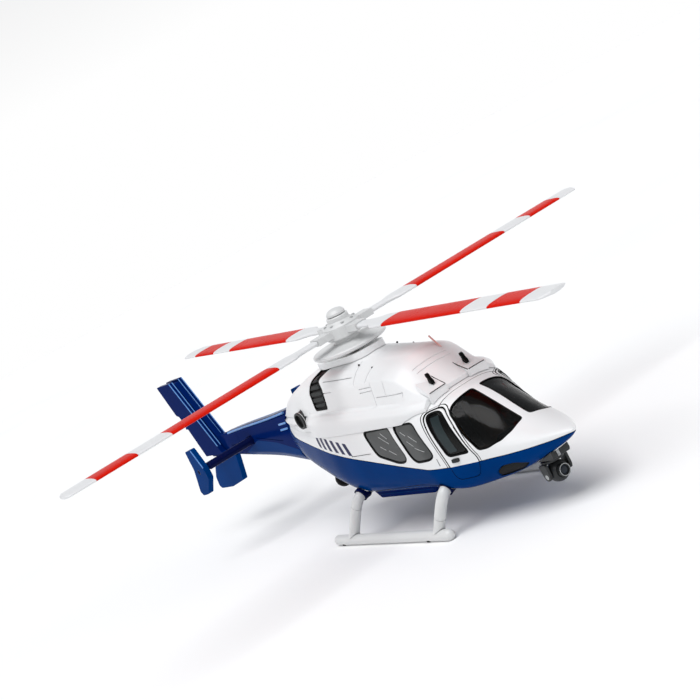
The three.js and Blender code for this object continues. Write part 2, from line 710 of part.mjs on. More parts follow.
function tailGearbox() {
  const finFace = FIN_CORE_HALF + PLATE;
  const length = TAIL_ROTOR.y - TAIL_BOSS.length / 2 - GAP - finFace - GAP;
  const middle = finFace + GAP + length / 2;
  return drum(4, length, "y", [TAIL_ROTOR.x, middle, TAIL_ROTOR.z], 16);
}

// Two blades and a boss, turned about Y.
const TAIL_BOSS = { radius: 2.8, length: 2.4 };
const TAIL_REST_ANGLE = THREE.MathUtils.degToRad(-26);

function tailRotor() {
  const tip = TAIL_ROTOR.radius;
  const boss = drum(TAIL_BOSS.radius, TAIL_BOSS.length, "y", [0, 0, 0], 16);
  const outline = [
    [-2.4, -tip], [2, -tip], [3, -8], [1.8, 0], [3, 8], [2, tip], [-2.4, tip], [-3, 8], [-1.8, 0],
    [-3, -8],
  ];
  return join(boss, sidePrism(outline, -0.8, 0.8, 0.8));
}

// ---------- Landing gear ----------
const KEEL_OUTLINE = [[-20, 18], [-16, 14.6], [38, 14.6], [42.6, 19], [42.6, 24], [-20, 24]];
const KEEL_HALF_WIDTH = 15.6;
const STRUT_RADIUS = 2.6;
const FRONT_STRUT = [[60, -14, 20.4], [64, -26, 17.8], [53.2, -SKID_Y, 2.2]];
const REAR_STRUT = [[-22, -14, 21], [-18.6, -26, 19.4], [-32.6, -SKID_Y, 2.2]];
const POD = { radius: 4.4, length: 12, centre: [-67.5, 0, 23.2] };

// A round tube with domed ends, flat along its underside.
function skid() {
  const length = SKID_FRONT_X - SKID_REAR_X;
  const middle = (SKID_FRONT_X + SKID_REAR_X) / 2;
  const bar = new THREE.CapsuleGeometry(SKID_RADIUS, length - 2 * SKID_RADIUS, 3, 12);
  bar.rotateZ(Math.PI / 2);
  bar.translate(middle, -SKID_Y, SKID_CENTRE_Z);
  return cut(bar, block([2 * length, 20, 20], [middle, -SKID_Y, SKID_SOLE_Z - 10]));
}

// A leg that leaves the hull, bends at the elbow and lands on the skid.
function strut([top, elbow, foot]) {
  const clearSkid = drum(SKID_RADIUS + GAP, 140, "x", [6, -SKID_Y, SKID_CENTRE_Z], 24);
  const keelSide = KEEL_HALF_WIDTH + GAP;
  const clearKeel = sidePrism(grownOutline(KEEL_OUTLINE, GAP), -keelSide, keelSide);
  const leg = tube([top, elbow, foot], STRUT_RADIUS, 5, 6);
  return cut(leg, clearBody, clearSkid, clearKeel);
}

function keelBlock() {
  return cut(sidePrism(KEEL_OUTLINE, -KEEL_HALF_WIDTH, KEEL_HALF_WIDTH, 0.8), clearBody);
}

function bellyPod() {
  const pod = new THREE.CapsuleGeometry(POD.radius, POD.length, 3, 12);
  pod.translate(...POD.centre);
  return cut(pod, clearBody);
}

// ---------- Camera turret ----------
const LENS = { radius: 2.8, length: 2.2 };
const YOKE_DISC = { radius: 5, height: 1.1, above: 5.45 };
const ARM_THICKNESS = 1.2;
const BRACKET_OUTLINE = [[106, 18.1], [122.6, 18.1], [123.4, 19.4], [123, 25], [106, 25]];
const ARM_OUTLINE = [[-2.2, 0], [-1.3, -1.8], [1.3, -1.8], [2.2, 0], [2.4, 5.2], [-2.4, 5.2]];

function cameraBracket() {
  return cut(sidePrism(BRACKET_OUTLINE, -4.6, 4.6, 0.6), clearBody);
}

// A disc that turns under the bracket, with an arm down each side of the ball.
function cameraYoke() {
  const discZ = TURRET.z + YOKE_DISC.above;
  const disc = drum(YOKE_DISC.radius, YOKE_DISC.height, "z", [TURRET.x, 0, discZ], 20);
  const outline = ARM_OUTLINE.map(([x, z]) => [TURRET.x + x, TURRET.z + z]);
  const inner = -TURRET_RADIUS - GAP;
  const arm = sidePrism(outline, inner - ARM_THICKNESS, inner, 0.9);
  return join(disc, arm, mirrored(arm));
}

function cameraBall() {
  const face = TURRET.x + TURRET_RADIUS;
  const ball = new THREE.SphereGeometry(TURRET_RADIUS, 16, 10);
  ball.translate(TURRET.x, 0, TURRET.z);
  return cut(ball, drum(LENS.radius + GAP, 4, "x", [face, 0, TURRET.z], 20));
}

function cameraLens() {
  const middle = TURRET.x + TURRET_RADIUS - 2 * GAP;
  return drum(LENS.radius, LENS.length, "x", [middle, 0, TURRET.z], 20);
}

// ---------- Cabin fittings ----------
const SEAT_OUTLINE = [
  [62, 19.6], [80, 19.6], [82, 26.6], [80, 29], [69, 28.4], [64.6, 49], [58.6, 49.4], [60.6, 26],
];
const PANEL_OUTLINE = [[97, 24.4], [103.4, 24.8], [103.8, 31.4], [100, 34.4], [96.6, 32]];
const PANEL_HALF_WIDTH = 9;
const HANDLE_OUTLINE = [[80, 30.4], [84, 30.2], [84.4, 31.9], [80.4, 32.1]];

function seat() {
  return sidePrism(SEAT_OUTLINE, -14.6, -4.4, 1.6);
}

function instrumentPanel() {
  return sidePrism(PANEL_OUTLINE, -PANEL_HALF_WIDTH, PANEL_HALF_WIDTH, 1);
}

function doorHandle() {
  const bar = sidePrism(HANDLE_OUTLINE, -28, -20, 0.7);
  return cut(common(bar, bodySolid(1)), clearBody);
}

// ---------- Assembly ----------
const root = new THREE.Group();

function add(parent, name, geometry, finish) {
  const mesh = new THREE.Mesh(geometry, new THREE.MeshStandardMaterial(FINISH[finish]));
  mesh.name = name;
  parent.add(mesh);
  return mesh;
}

// A piece on the right-hand side and its mirror image on the left.
function addPair(parent, name, geometry, finish) {
  add(parent, `${name}_right`, geometry, finish);
  add(parent, `${name}_left`, mirrored(geometry), finish);
}

function addFuselage() {
  add(root, "hull_lower", hullLower(), "blue");
  add(root, "cabin_shell", cabinShell(), "white");
  add(root, "engine_cowling", engineCowling(), "white");
  add(root, "louvre_band", louvreBand(), "black");
  addPair(root, "exhaust", exhaust(), "darkGrey");
  addPair(root, "roof_box", roofBox(), "white");
  addPair(root, "roof_hook", roofHook(), "black");
  add(root, "whip_antenna", whipAntenna(), "rose");
  addPair(root, "nose_vent", sidePane(NOSE_VENT_OUTLINE, CORNER_RADIUS.vent), "black");
  addPair(root, "windscreen", windscreenRight(), "smoke");
  addPair(root, "cabin_glass_front", sidePane(FRONT_GLASS_OUTLINE, CORNER_RADIUS.window), "smoke");
  addPair(root, "cabin_glass_rear", sidePane(REAR_GLASS_OUTLINE, CORNER_RADIUS.window), "smoke");
  addPair(root, "seat", seat(), "tan");
  add(root, "instrument_panel", instrumentPanel(), "darkGrey");
}

function addDoors() {
  addPair(root, "door", doorRight(), "white");
  addPair(root, "door_glass", sidePane(DOOR_GLASS_OUTLINE, CORNER_RADIUS.window), "smoke");
  addPair(root, "door_handle", doorHandle(), "lightGrey");
}

function addRotor() {
  add(root, "mast_fairing", mastFairing(), "white");
  const mast = new THREE.Group();
  mast.position.set(0, 0, ROTOR_HEIGHT);
  mast.rotation.y = ROTOR_TILT;
  root.add(mast);
  add(mast, "shaft_bush", turned(BUSH_PROFILE, 20), "darkGrey");
  const turning = new THREE.Group();
  turning.rotation.z = ROTOR_PHASE;
  mast.add(turning);
  add(turning, "rotor_hub", rotorHub(), "lightGrey");
  add(turning, "rotor_cap", turned(CAP_PROFILE, 20), "lightGrey");
  for (let i = 0; i < BLADE_COUNT; i += 1) {
    const mesh = add(turning, `rotor_blade_${i + 1}`, blade(), "white");
    mesh.rotation.z = (i * 2 * Math.PI) / BLADE_COUNT;
  }
}

function addTail() {
  add(root, "tail_boom", tailBoom(), "blue");
  add(root, "stabiliser", stabiliser(), "navy");
  addPair(root, "endplate", endplate(), "blue");
  add(root, "fin_core", finCore(), "blue");
  addPair(root, "fin_plate", finPlate(), "blue");
  add(root, "ventral_fin", ventralFin(), "blue");
  add(root, "tail_gearbox", tailGearbox(), "darkGrey");
  const rotor = add(root, "tail_rotor", tailRotor(), "black");
  rotor.position.set(TAIL_ROTOR.x, TAIL_ROTOR.y, TAIL_ROTOR.z);
  rotor.rotation.y = TAIL_REST_ANGLE;
}

function addLandingGear() {
  addPair(root, "skid", skid(), "lightGrey");
  addPair(root, "front_strut", strut(FRONT_STRUT), "lightGrey");
  addPair(root, "rear_strut", strut(REAR_STRUT), "lightGrey");
  add(root, "keel_block", keelBlock(), "blue");
  add(root, "belly_pod", bellyPod(), "black");
}

function addTurret() {
  add(root, "camera_bracket", cameraBracket(), "darkGrey");
  add(root, "camera_yoke", cameraYoke(), "darkGrey");
  add(root, "camera_ball", cameraBall(), "darkGrey");
  add(root, "camera_lens", cameraLens(), "black");
}

addFuselage();
addDoors();
addRotor();
addTail();
addLandingGear();
addTurret();

// The origin goes to ground level, under the middle of the overall box.
const bounds = new THREE.Box3().setFromObject(root, true);
root.position.set(-(bounds.min.x + bounds.max.x) / 2, 0, -bounds.min.z);
root.updateMatrixWorld(true);

export default root;
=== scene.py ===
"""Looks of a toy helicopter: smooth shells, markings, trim and procedural materials round a CAD frame.

Shapes are worked out in millimetres on the CAD source's own datum (x from the rotor mast towards the
nose, y to port, z from a level just above the ground), and dress() moves each finished piece to the
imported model's frame, in metres.
"""

import json
import math

import bmesh
import bpy
from mathutils import Matrix, Vector

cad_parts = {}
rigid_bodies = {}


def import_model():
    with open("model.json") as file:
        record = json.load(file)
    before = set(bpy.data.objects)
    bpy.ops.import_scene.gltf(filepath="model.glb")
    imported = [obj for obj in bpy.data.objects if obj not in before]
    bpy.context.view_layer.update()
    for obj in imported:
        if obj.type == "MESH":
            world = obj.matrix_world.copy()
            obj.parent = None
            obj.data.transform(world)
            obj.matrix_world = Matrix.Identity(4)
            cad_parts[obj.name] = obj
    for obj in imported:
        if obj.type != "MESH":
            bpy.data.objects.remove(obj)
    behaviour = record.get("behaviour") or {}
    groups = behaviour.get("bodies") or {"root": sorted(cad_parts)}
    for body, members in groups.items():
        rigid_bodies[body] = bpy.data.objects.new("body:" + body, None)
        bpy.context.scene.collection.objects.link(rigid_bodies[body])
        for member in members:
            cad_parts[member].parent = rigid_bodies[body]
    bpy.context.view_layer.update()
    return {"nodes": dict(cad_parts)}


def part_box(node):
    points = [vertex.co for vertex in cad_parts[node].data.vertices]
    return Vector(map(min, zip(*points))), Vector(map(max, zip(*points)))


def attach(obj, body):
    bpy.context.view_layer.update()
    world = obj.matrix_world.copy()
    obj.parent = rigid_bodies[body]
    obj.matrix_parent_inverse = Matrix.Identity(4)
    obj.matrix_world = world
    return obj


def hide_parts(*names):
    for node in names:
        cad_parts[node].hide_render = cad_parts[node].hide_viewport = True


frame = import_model()

# ---------- Driving dimensions, in millimetres ----------
MM = 0.001
GAP = 0.3
PLATE = 3.2
WALL = 1.7
PANE_INSET = 0.35
FILM_PROUD = 0.04  # how far printed markings stand above the skin
FILM_DEPTH = 0.25
SCORE_WIDTH = 0.38
SCORE_DEPTH = 0.45
BEYOND = 60
HULL_TAIL_X = -96
NOSE_X = 140
SKID_REAR_X = -52
SKID_SOLE_Z = -0.8

ROTOR_RADIUS = 156
ROTOR_HEIGHT = 95
ROTOR_TILT = math.radians(5.4)
ROTOR_PHASE = math.radians(4.3)
BLADE_ROOT = 17

SHIFT_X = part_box("skid_right")[0].x / MM - SKID_REAR_X
TO_ROW = Matrix.Scale(MM, 4) @ Matrix.Translation((SHIFT_X, 0, -SKID_SOLE_Z))
ALONG_MAST = Matrix.Translation((0, 0, ROTOR_HEIGHT)) @ Matrix.Rotation(ROTOR_TILT, 4, "Y")

workshop = bpy.data.collections.new("workshop")
bpy.context.scene.collection.children.link(workshop)


# ---------- Solids ----------
def piece_from(mesh_data):
    mesh = bpy.data.meshes.new("solid")
    mesh_data.to_mesh(mesh)
    mesh_data.free()
    piece = bpy.data.objects.new("solid", mesh)
    workshop.objects.link(piece)
    return piece


def solid(vertices, faces):
    shape = bmesh.new()
    corners = [shape.verts.new(vertex) for vertex in vertices]
    for face in faces:
        shape.faces.new([corners[i] for i in face])
    bmesh.ops.recalc_face_normals(shape, faces=shape.faces)
    return piece_from(shape)


def combine(how, base, *tools):
    """A new solid: base with each tool added, cut away or kept in common."""
    made = bpy.data.objects.new("solid", base.data)
    workshop.objects.link(made)
    for tool in tools:
        modifier = made.modifiers.new("combine", "BOOLEAN")
        modifier.operation = how
        modifier.solver = "MANIFOLD"
        modifier.object = tool
    evaluated = made.evaluated_get(bpy.context.evaluated_depsgraph_get())
    mesh = bpy.data.meshes.new_from_object(evaluated)
    made.modifiers.clear()
    made.data = mesh
    return made


def cut(base, *tools):
    return combine("DIFFERENCE", base, *tools)


def common(base, *tools):
    return combine("INTERSECT", base, *tools)


def union(base, *tools):
    return combine("UNION", base, *tools)


def mirrored(piece):
    """The same shape on the other side of the centre plane."""
    copy = bpy.data.objects.new("solid", piece.data.copy())
    copy.data.transform(Matrix.Scale(-1, 4, (0, 1, 0)))
    copy.data.flip_normals()
    workshop.objects.link(copy)
    return copy


def both_sides(piece):
    return union(piece, mirrored(piece))


def moved(piece, matrix):
    piece.data.transform(matrix)
    return piece


# ---------- Curves and outlines ----------
def blended(start, leaving, end, arriving, t):
    """The cubic from start to end with the given slopes, at the share t of the way."""
    return (
        start * (2 * t**3 - 3 * t**2 + 1)
        + leaving * (t**3 - 2 * t**2 + t)
        + end * (3 * t**2 - 2 * t**3)
        + arriving * (t**3 - t**2)
    )


def curve_through(points):
    """A smooth function through [x, value] points that never overshoots them (monotone cubic)."""
    pairs = list(zip(points, points[1:]))
    chords = [(v1 - v0) / (x1 - x0) for (x0, v0), (x1, v1) in pairs]
    slopes = [chords[0]]
    for a, b in zip(chords, chords[1:]):
        slopes.append(0 if a * b <= 0 else 2 * a * b / (a + b))
    slopes.append(chords[-1])

    def value(x):
        i = next((k for k, (_, end) in enumerate(pairs) if x <= end[0]), len(pairs) - 1)
        (x0, v0), (x1, v1) = pairs[i]
        width = x1 - x0
        t = min(max((x - x0) / width, 0), 1)
        return blended(v0, width * slopes[i], v1, width * slopes[i + 1], t)

    return value


def spread(start, end, count):
    return [start + (end - start) * i / (count - 1) for i in range(count)]


def rounded(points, radius, steps=6):
    """A closed outline with its corners rounded. radius is one number or one for each corner."""
    if not radius:
        return [tuple(point) for point in points]
    corners = [Vector(point) for point in points]
    outline = []
    for i, corner in enumerate(corners):
        reach = radius if isinstance(radius, (int, float)) else radius[i]
        before = corners[i - 1] - corner
        after = corners[(i + 1) % len(corners)] - corner
        start = corner + before.normalized() * min(reach, before.length / 2.05)
        end = corner + after.normalized() * min(reach, after.length / 2.05)
        for k in range(steps + 1):
            t = k / steps
            outline.append(tuple(start * (1 - t) ** 2 + corner * 2 * t * (1 - t) + end * t * t))
    return outline


def grown(points, grow):
    """A flat outline with every edge moved outwards by the same distance."""
    corners = [Vector(point) for point in points]
    doubled_area = sum(a.x * b.y - b.x * a.y for a, b in zip(corners, corners[1:] + corners[:1]))
    turn = math.copysign(1, doubled_area)
    outline = []
    for i, corner in enumerate(corners):
        arriving = (corner - corners[i - 1]).normalized()
        leaving = (corners[(i + 1) % len(corners)] - corner).normalized()
        along = arriving + leaving
        outward = Vector((turn * along.y, -turn * along.x))
        outline.append(tuple(corner + outward * 2 * grow / outward.length_squared))
    return outline


def grown_in_space(points, grow):
    """A 3-D outline with every corner moved away from its middle by a distance."""
    corners = [Vector(point) for point in points]
    middle = sum(corners, Vector()) / len(corners)
    return [tuple(c + (c - middle).normalized() * grow) for c in corners]


def skin(rings):
    """A closed solid through rings of 3-D points, with the same count of points in each."""
    count = len(rings[0])
    faces = []
    for i in range(len(rings) - 1):
        for j in range(count):
            a, b = i * count + j, i * count + (j + 1) % count
            faces.append([a, b, b + count, a + count])
    last = (len(rings) - 1) * count
    faces += [list(range(count)), list(range(last, last + count))]
    return solid([point for ring in rings for point in ring], faces)


def prism(outline, low, high, place):
    """A solid between two copies of a flat outline; place(u, v, w) gives the 3-D point."""
    return skin([[place(u, v, w) for u, v in outline] for w in (low, high)])


def side_prism(points, low=-BEYOND, high=BEYOND, radius=0):
    """An outline in the side view, [x, z], made solid from y = low to y = high."""
    return prism(rounded(points, radius), low, high, lambda u, v, w: (u, w, v))


def top_prism(points, low, high, radius=0):
    """An outline in the top view, [x, y], made solid from z = low to z = high."""
    return prism(rounded(points, radius), low, high, lambda u, v, w: (u, v, w))


def slanted_prism(points, direction, reach, radius):
    """A prism along a slanted direction through an outline of 3-D points."""
    normal = Vector(direction).normalized()
    right = Vector((0, 0, 1)).cross(normal).normalized()
    up = normal.cross(right)
    flat = [(Vector(p).dot(right), Vector(p).dot(up)) for p in points]
    depth = sum(Vector(p).dot(normal) for p in points) / len(points)

    def place(u, v, w):
        return right * u + up * v + normal * w

    return prism(rounded(flat, radius), depth - reach, depth + reach, place)


def box_between(low, high):
    (x0, y0, z0), (x1, y1, z1) = low, high
    return top_prism([(x0, y0), (x1, y0), (x1, y1), (x0, y1)], z0, z1)


def stroke(points, width, low=-BEYOND, high=BEYOND):
    """A thin band along a line of [x, z] points in the side view, as a cutting tool."""
    bands = []
    for (x0, z0), (x1, z1) in zip(points, points[1:]):
        along = Vector((x1 - x0, z1 - z0)).normalized() * (width / 2)
        across = Vector((-along.y, along.x))
        a, b = Vector((x0, z0)) - along, Vector((x1, z1)) + along
        bands.append(side_prism([a + across, a - across, b - across, b + across], low, high))
    return union(*bands) if len(bands) > 1 else bands[0]


# ---------- Lofts, tubes and turned pieces ----------
def loft(stations):
    """A closed solid through rings of [y, z] points, one ring for each (x, ring)."""
    return skin([[(x, y, z) for y, z in ring] for x, ring in stations])


def smooth_path(points, steps):
    """Points along a Catmull-Rom curve through the given ones."""
    knots = [Vector(point) for point in points]
    knots = [knots[0] * 2 - knots[1], *knots, knots[-1] * 2 - knots[-2]]
    path = []
    for p0, p1, p2, p3 in zip(knots, knots[1:], knots[2:], knots[3:]):
        for k in range(steps):
            path.append(blended(p1, (p2 - p0) / 2, p2, (p3 - p1) / 2, k / steps))
    return [*path, knots[-2]]


def tube(points, radius, sides=28, steps=14):
    """A round bar along a smooth path. radius is a number or a function of the share of the way."""
    path = smooth_path(points, steps)
    count = len(path)
    rings = []
    side = None
    for i, point in enumerate(path):
        forward = (path[min(i + 1, count - 1)] - path[max(i - 1, 0)]).normalized()
        if side is None:
            side = forward.orthogonal().normalized()
        side = (side - forward * side.dot(forward)).normalized()
        other = forward.cross(side)
        reach = radius(i / (count - 1)) if callable(radius) else radius
        angles = [2 * math.pi * j / sides for j in range(sides)]
        rings.append([
            point + side * reach * math.cos(a) + other * reach * math.sin(a) for a in angles
        ])
    return skin(rings)


def turned(profile, sides=64):
    """A lathe solid about z from [radius, z] points; where the radius is nought it closes."""
    shape = bmesh.new()
    line = [shape.verts.new((r, 0, z)) for r, z in profile]
    edges = [shape.edges.new(pair) for pair in zip(line, line[1:])]
    if profile[0][0] > 0:
        edges.append(shape.edges.new((line[-1], line[0])))
    bmesh.ops.spin(
        shape, geom=line + edges, axis=(0, 0, 1), cent=(0, 0, 0), angle=2 * math.pi, steps=sides
    )
    bmesh.ops.remove_doubles(shape, verts=shape.verts, dist=1e-4)
    bmesh.ops.recalc_face_normals(shape, faces=shape.faces)
    return piece_from(shape)


TURN_TO = {
    "x": Matrix.Rotation(math.pi / 2, 4, "Y"),
    "y": Matrix.Rotation(-math.pi / 2, 4, "X"),
    "z": Matrix.Identity(4),
}


def turned_at(profile, axis, centre, sides=64):
    return moved(turned(profile, sides), Matrix.Translation(centre) @ TURN_TO[axis])


def collar(inner, outer, low, high):
    """The profile of a plain ring: its two radii, then its two ends."""
    return [(inner, low), (outer, low), (outer, high), (inner, high)]


def drum(radius, length, axis, centre, edge=0.0, sides=64):
    """A cylinder centred on a point, with its rims rounded by edge."""
    half = length / 2
    if edge:
        arc = [math.radians(22.5 * k) for k in range(5)]
        low = [(radius - edge + edge * math.sin(a), -half + edge - edge * math.cos(a)) for a in arc]
        high = [(r, -z) for r, z in reversed(low)]
        profile = [(0, -half), *low, *high, (0, half)]
    else:
        profile = [(0, -half), (radius, -half), (radius, half), (0, half)]
    return turned_at(profile, axis, centre, sides)


def ball(radius, centre, sides=48):
    profile = [(radius * math.sin(a), -radius * math.cos(a)) for a in spread(0, math.pi, 25)]
    profile[0], profile[-1] = (0, -radius), (0, radius)
    return turned_at(profile, "z", centre, sides)


# ---------- Materials ----------
def linear(colour):
    """An 0xRRGGBB display colour as linear light."""
    channels = [((colour >> shift) & 255) / 255 for shift in (16, 8, 0)]
    return [c / 12.92 if c <= 0.04045 else ((c + 0.055) / 1.055) ** 2.4 for c in channels] + [1]


class Surface:
    """A Principled material under construction, with short ways to add nodes."""

    def __init__(self, name):
        self.material = bpy.data.materials.new(name)
        self.material.use_nodes = True
        self.tree = self.material.node_tree
        self.shader = self.tree.nodes["Principled BSDF"]
        self.place = self.node("ShaderNodeTexCoord").outputs["Object"]

    def node(self, kind, **settings):
        made = self.tree.nodes.new(kind)
        for key, value in settings.items():
            setattr(made, key, value)
        return made

    def link(self, source, target):
        self.tree.links.new(source, target)

    def stretched(self, turn, scale):
        """Object coordinates turned about Y, then scaled along each axis."""
        turned_place = self.node("ShaderNodeMapping")
        turned_place.inputs["Rotation"].default_value = (0, turn, 0)
        self.link(self.place, turned_place.inputs["Vector"])
        scaled = self.node("ShaderNodeMapping")
        scaled.inputs["Scale"].default_value = scale
        self.link(turned_place.outputs["Vector"], scaled.inputs["Vector"])
        return scaled.outputs["Vector"]

    def noise(self, scale, detail, place=None):
        made = self.node("ShaderNodeTexNoise")
        made.inputs["Scale"].default_value = scale
        made.inputs["Detail"].default_value = detail
        self.link(place or self.place, made.inputs["Vector"])
        return made.outputs["Fac"]

    def ramp(self, factor, stops):
        """stops are (position, colour) pairs."""
        made = self.node("ShaderNodeValToRGB")
        elements = made.color_ramp.elements
        while len(elements) < len(stops):
            elements.new(0.5)
        for element, (position, colour) in zip(elements, stops):
            element.position = position
            element.color = colour
        self.link(factor, made.inputs["Fac"])
        return made.outputs["Color"]

    def mix(self, factor, source, colour):
        """A node's colour output, changed to a plain colour where the factor is one."""
        made = self.node("ShaderNodeMix", data_type="RGBA")
        self.link(factor, made.inputs["Factor"])
        self.link(source, made.inputs[6])
        made.inputs[7].default_value = colour
        return made.outputs[2]

    def between(self, factor, low, high):
        made = self.node("ShaderNodeMapRange")
        made.inputs["To Min"].default_value = low
        made.inputs["To Max"].default_value = high
        self.link(factor, made.inputs["Value"])
        return made.outputs["Result"]

    def set_colour(self, source):
        self.link(source, self.shader.inputs["Base Color"])

    def set_roughness(self, low, high, scale):
        self.link(self.between(self.noise(scale, 2), low, high), self.shader.inputs["Roughness"])

    def set_bump(self, height, depth_mm):
        bump = self.node("ShaderNodeBump")
        bump.inputs["Strength"].default_value = 0.3
        bump.inputs["Distance"].default_value = depth_mm * MM
        self.link(height, bump.inputs["Height"])
        self.link(bump.outputs["Normal"], self.shader.inputs["Normal"])


def shaded(colour, share):
    return [c * share for c in colour[:3]] + [1]


def moulded_plastic(name, colour, roughness, tone, shine=0.5):
    """Injection-moulded plastic: slow drifts of tone, faint sink marks and uneven roughness."""
    surface = Surface(name)
    base = linear(colour)
    drift = surface.noise(38, 3)
    toned = surface.ramp(drift, [(0.3, shaded(base, 1 - tone)), (0.7, shaded(base, 1 + tone / 2))])
    surface.set_colour(toned)
    surface.set_roughness(roughness - 0.04, roughness + 0.05, 90)
    surface.set_bump(surface.noise(260, 1), 0.002)
    surface.shader.inputs["Specular IOR Level"].default_value = shine
    return surface.material


def satin_rubber(name, colour, roughness):
    """Grained black or grey trim."""
    surface = Surface(name)
    base = linear(colour)
    grain = surface.noise(1500, 3)
    surface.set_colour(surface.ramp(grain, [(0.3, shaded(base, 0.7)), (0.7, shaded(base, 1.5))]))
    surface.set_roughness(roughness - 0.08, roughness + 0.1, 300)
    surface.set_bump(grain, 0.02)
    surface.shader.inputs["Specular IOR Level"].default_value = 0.06
    return surface.material


def smoked_pane(name, colour, alpha):
    """Polished smoked glazing, lighter and darker along slanted bands: painted reflection streaks."""
    surface = Surface(name)
    base = linear(colour)
    bands = surface.noise(1, 1, surface.stretched(math.radians(-21), (26, 26, 120)))
    surface.set_colour(surface.ramp(bands, [(0.3, shaded(base, 0.7)), (0.75, shaded(base, 1.5))]))
    surface.set_roughness(0.05, 0.12, 90)
    surface.shader.inputs["Specular IOR Level"].default_value = 0.2
    surface.shader.inputs["Alpha"].default_value = alpha
    return surface.material


def woven_seat(name, colour):
    """Matt seat moulding with a pressed basket weave."""
    surface = Surface(name)
    base = linear(colour)
    weave = surface.node("ShaderNodeTexChecker")
    weave.inputs["Scale"].default_value = 900
    surface.link(surface.place, weave.inputs["Vector"])
    drift = surface.noise(90, 3)
    toned = surface.ramp(drift, [(0.3, shaded(base, 0.8)), (0.7, shaded(base, 1.15))])
    surface.set_colour(surface.mix(weave.outputs["Fac"], toned, shaded(base, 0.72)))
    surface.set_roughness(0.55, 0.75, 400)
    surface.set_bump(weave.outputs["Fac"], 0.05)
    return surface.material


WHITE = moulded_plastic("white_plastic", 0xE1E2E3, 0.3, 0.015)
BLADE_WHITE = moulded_plastic("blade_white", 0xDCDDDE, 0.34, 0.02)
BLADE_RED = moulded_plastic("blade_red", 0xCC1A0A, 0.26, 0.06, 0.015)
BLUE = moulded_plastic("blue_plastic", 0x003370, 0.16, 0.12, 0.004)
DEEP_BLUE = moulded_plastic("deep_blue_plastic", 0x021C58, 0.16, 0.12, 0.003)
# Light blue for thin strips along the tail's edges and steps: painted highlights.
HIGHLIGHT_BLUE = moulded_plastic("painted_highlight_blue", 0x5B90D0, 0.3, 0.08)
NAVY = moulded_plastic("navy_plastic", 0x050F3C, 0.26, 0.12, 0.04)
INK = moulded_plastic("navy_print", 0x0A1044, 0.38, 0.08, 0.1)
PALE = moulded_plastic("pale_grey_plastic", 0xCFD0D0, 0.3, 0.03)
CHARCOAL = moulded_plastic("charcoal_plastic", 0x2A2C2D, 0.32, 0.12, 0.3)
# Near-black for the shells' inner faces and the walls of their openings: painted shade, so gaps and the
# hollow read dark.
INSIDE_SHADE = moulded_plastic("painted_inside_shade", 0x0C0D0E, 0.6, 0.1, 0.1)
BLACK = satin_rubber("black_trim", 0x080808, 0.4)
RIB_GREY = satin_rubber("rib_grey", 0x2E3030, 0.42)
# Pale grey for the bolts, the pivots and the lens ring, and for the bracket's painted highlight and the
# reflection strokes on the glass.
GREY_TRIM_AND_HIGHLIGHT = satin_rubber("grey_trim_and_highlight", 0xA0A2A2, 0.4)
ROSE = moulded_plastic("rose_plastic", 0xE6B9B2, 0.4, 0.05)
SEAT_TAN = woven_seat("seat_tan", 0xA9794A)
SCREEN = smoked_pane("smoked_screen", 0x060707, 0.62)
DOOR_PANE = smoked_pane("smoked_door_pane", 0x050606, 0.9)
DOOR_SHEEN = smoked_pane("smoked_door_sheen", 0x222B2D, 1.0)
CABIN_PANE = smoked_pane("smoked_cabin_pane", 0x434545, 0.98)
LENS_GLASS = smoked_pane("lens_glass", 0x2A3038, 1.0)


# ---------- From the workshop to the frame ----------
BEVEL_FROM = math.radians(38)
INWARDS_BELOW = 0.22  # how squarely a shell's face has to look outwards to count as its outside


def dress(piece, name, material, slot, body="airframe", stands_for=None, bevel=0.0, sharp=32):
    """Moves a finished solid to its place, names it and gives it its looks.

    material is one material, or a list that the faces' material indices choose from.
    """
    mesh = piece.data.copy()
    mesh.transform(TO_ROW)
    looks = material if isinstance(material, list) else [material]
    chosen = [min(face.material_index, len(looks) - 1) for face in mesh.polygons]
    mesh.materials.clear()
    for look in looks:
        mesh.materials.append(look)
    mesh.polygons.foreach_set("material_index", chosen)
    mesh.shade_smooth()
    mesh.set_sharp_from_angle(angle=math.radians(sharp))
    made = bpy.data.objects.new(name, mesh)
    bpy.context.scene.collection.objects.link(made)
    if bevel:
        rim = made.modifiers.new("rim", "BEVEL")
        rim.width = bevel * MM
        rim.segments = 3
        rim.limit_method = "ANGLE"
        rim.angle_limit = BEVEL_FROM
        rim.harden_normals = True
    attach(made, body)
    if stands_for:
        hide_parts(stands_for)


def shade_inside(shell):
    """Puts the second material, a near-black painted shade, on the faces that look inwards and on the
    walls of the openings.
    """
    for face in shell.data.polygons:
        spine = Vector((min(max(face.center.x, -60), 106), 0, BODY["waist"](face.center.x)))
        outward = face.normal.dot((face.center - spine).normalized())
        face.material_index = 1 if outward < INWARDS_BELOW else 0
    return shell


DOOR_BODIES = ("right_door", "left_door")


def dress_pair(piece, name, material, slot, bodies=("airframe", "airframe"), node=None, **looks):
    """A piece on the right-hand side and its mirror image on the left."""
    for shape, side, body in ((piece, "right", bodies[0]), (mirrored(piece), "left", bodies[1])):
        stands_for = f"{node}_{side}" if node else None
        dress(shape, f"{name}_{side}", material, slot, body, stands_for, **looks)


